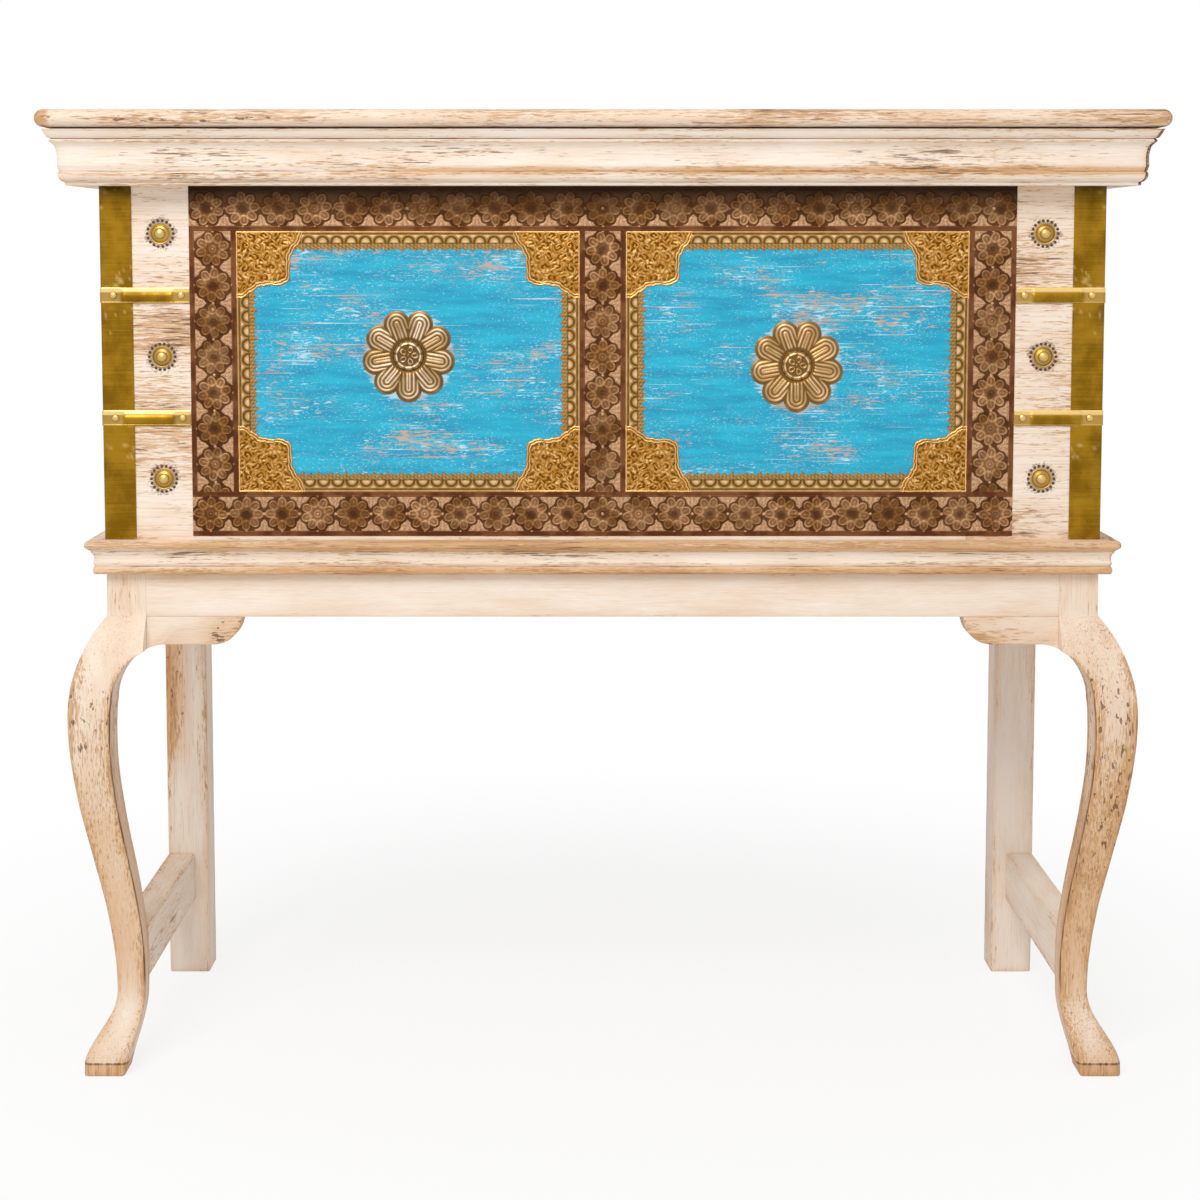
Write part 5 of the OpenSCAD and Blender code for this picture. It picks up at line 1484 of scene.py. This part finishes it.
# %% Finishes on the CAD pieces
FINISHES = {
    paint_front: ("stile_left", "stile_right"), paint_x: ("rail_top", "rail_bottom"), paint_z: ("muntin",),
    turquoise: ("panel_left", "panel_right"), bare_x: ("bottom_board", "stand_dowels"),
    bare_y: ("lid_battens",), brass_worn: ("hinge_leaves_box", "hinge_leaves_lid", "hinge_pins",
                                           "hinge_screws_box", "hinge_screws_lid"),
}
for finish, nodes in FINISHES.items():
    for node in nodes:
        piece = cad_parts[node]
        if not piece.material_slots:
            piece.data.materials.append(finish)
        for slot in piece.material_slots:
            slot.material = finish
print("finished CAD pieces:", sum(map(len, FINISHES.values())))

# %% [markdown]
# ## Floor, light and camera
#
# The picture has a white ground. The floor is a pale sheet that takes the object's shadow and fades to
# pure white away from it; only rays from the camera, mirrors and glass see that white. Many lamps could
# stand round it, as in a studio, but a plain white sky with one broad soft lamp before the chest lights
# every side, and colours come out about as written.

# %% White ground
FLOOR_HALF = 6.0
# The paper keeps this share of its own white near the legs, and is pure white past the second distance.
NEAR_WHITE, FADE_FROM, FADE_TO = 0.78, 0.3, 1.3
WHITE = (1, 1, 1, 1)


def eye_rays(tree):
    """1 for camera, glossy and transmission rays, and 0 for the rays that light the object."""
    rays = add(tree, "LightPath").node.outputs
    seen = add(tree, "Math", rays["Is Camera Ray"], rays["Is Glossy Ray"], operation="MAXIMUM")
    return add(tree, "Math", seen, rays["Is Transmission Ray"], operation="MAXIMUM")


floor_mesh = bpy.data.meshes.new("floor")
corners = [(x * FLOOR_HALF, y * FLOOR_HALF, 0) for x, y in ((-1, -1), (1, -1), (1, 1), (-1, 1))]
floor_mesh.from_pydata(corners, [], [(0, 1, 2, 3)])
floor = bpy.data.objects.new("floor", floor_mesh)
bpy.context.scene.collection.objects.link(floor)
# Matt paper: to the eye a soft grey shadow near the legs that fades to pure white over a metre.
paper = bpy.data.materials.new("white_paper_floor")
paper.use_nodes = True
tree = paper.node_tree
tree.nodes.clear()
away = add(tree, "VectorMath", add(tree, "TexCoord", out="Object"), operation="LENGTH", out="Value")
far = add(tree, "MapRange", away, FADE_FROM, FADE_TO, NEAR_WHITE, 1.0, **SMOOTH)
glow = add(tree, "Math", eye_rays(tree), far, operation="MULTIPLY")
add(tree, "OutputMaterial", add(tree, "MixShader", glow, add(tree, "BsdfDiffuse", linear("FAFAFA")),
                                add(tree, "Emission", WHITE, 1.0)))
floor_mesh.materials.append(paper)
print("floor:", 2 * FLOOR_HALF, "m square")

# %% Sky and lamp
SKY = 0.54
LAMP_SIZE, LAMP_WATTS = 1.8, 72
scene = bpy.context.scene
scene.view_settings.view_transform = "Standard"
world = bpy.data.worlds.new("white_sky")
scene.world = world
world.use_nodes = True
tree = world.node_tree
tree.nodes.clear()
add(tree, "OutputWorld", add(tree, "MixShader", eye_rays(tree), add(tree, "Background", WHITE, SKY),
                             add(tree, "Background", WHITE, 1.0)))


def soft_lamp(name, place, aim, size, watts):
    """A square lamp at a place, turned towards a point: its tilt and turn are the angles of the line from
    the lamp to that point."""
    lamp = bpy.data.lights.new(name, "AREA")
    lamp.size, lamp.energy = size, watts
    holder = bpy.data.objects.new(name, lamp)
    forward = np.array(aim, float) - np.array(place, float)
    tilt = math.atan2(forward[2], math.hypot(forward[0], forward[1]))
    holder.location = place
    holder.rotation_euler = (math.pi / 2 + tilt, 0, math.atan2(forward[1], forward[0]) - math.pi / 2)
    bpy.context.scene.collection.objects.link(holder)
    return holder


lamp = soft_lamp("front_lamp", (-0.8, -2.6, 3.0), (0, 0, 0.6), LAMP_SIZE, LAMP_WATTS)
print("lamp:", lamp.name, "of", LAMP_WATTS, "W; sky", SKY)

# %% [markdown]
# ## The camera
#
# The picture was taken from about two and a half metres, a little below the lid, with the view slid
# down so that upright edges stay nearly upright. A lens shift alone could do that, but a large one pushes
# the chest aside when it is seen from elsewhere. So part of that slide is a shift and part is a tilt.

# %% Camera
CAMERA_PLACE = (-0.0167, -2.4355, 0.8391)
CAMERA_TILT = 5.0
LENS, SHIFT_X, SHIFT_Y = 68.29, 0.0117, -0.1289
camera = bpy.data.cameras.new("camera")
camera.lens, camera.shift_x, camera.shift_y = LENS, SHIFT_X, SHIFT_Y
eye = bpy.data.objects.new("camera", camera)
eye.location = CAMERA_PLACE
eye.rotation_euler = (math.radians(90 - CAMERA_TILT), 0, 0)
bpy.context.scene.collection.objects.link(eye)
scene.camera = eye
print("camera at", CAMERA_PLACE, "with a", LENS, "mm lens")
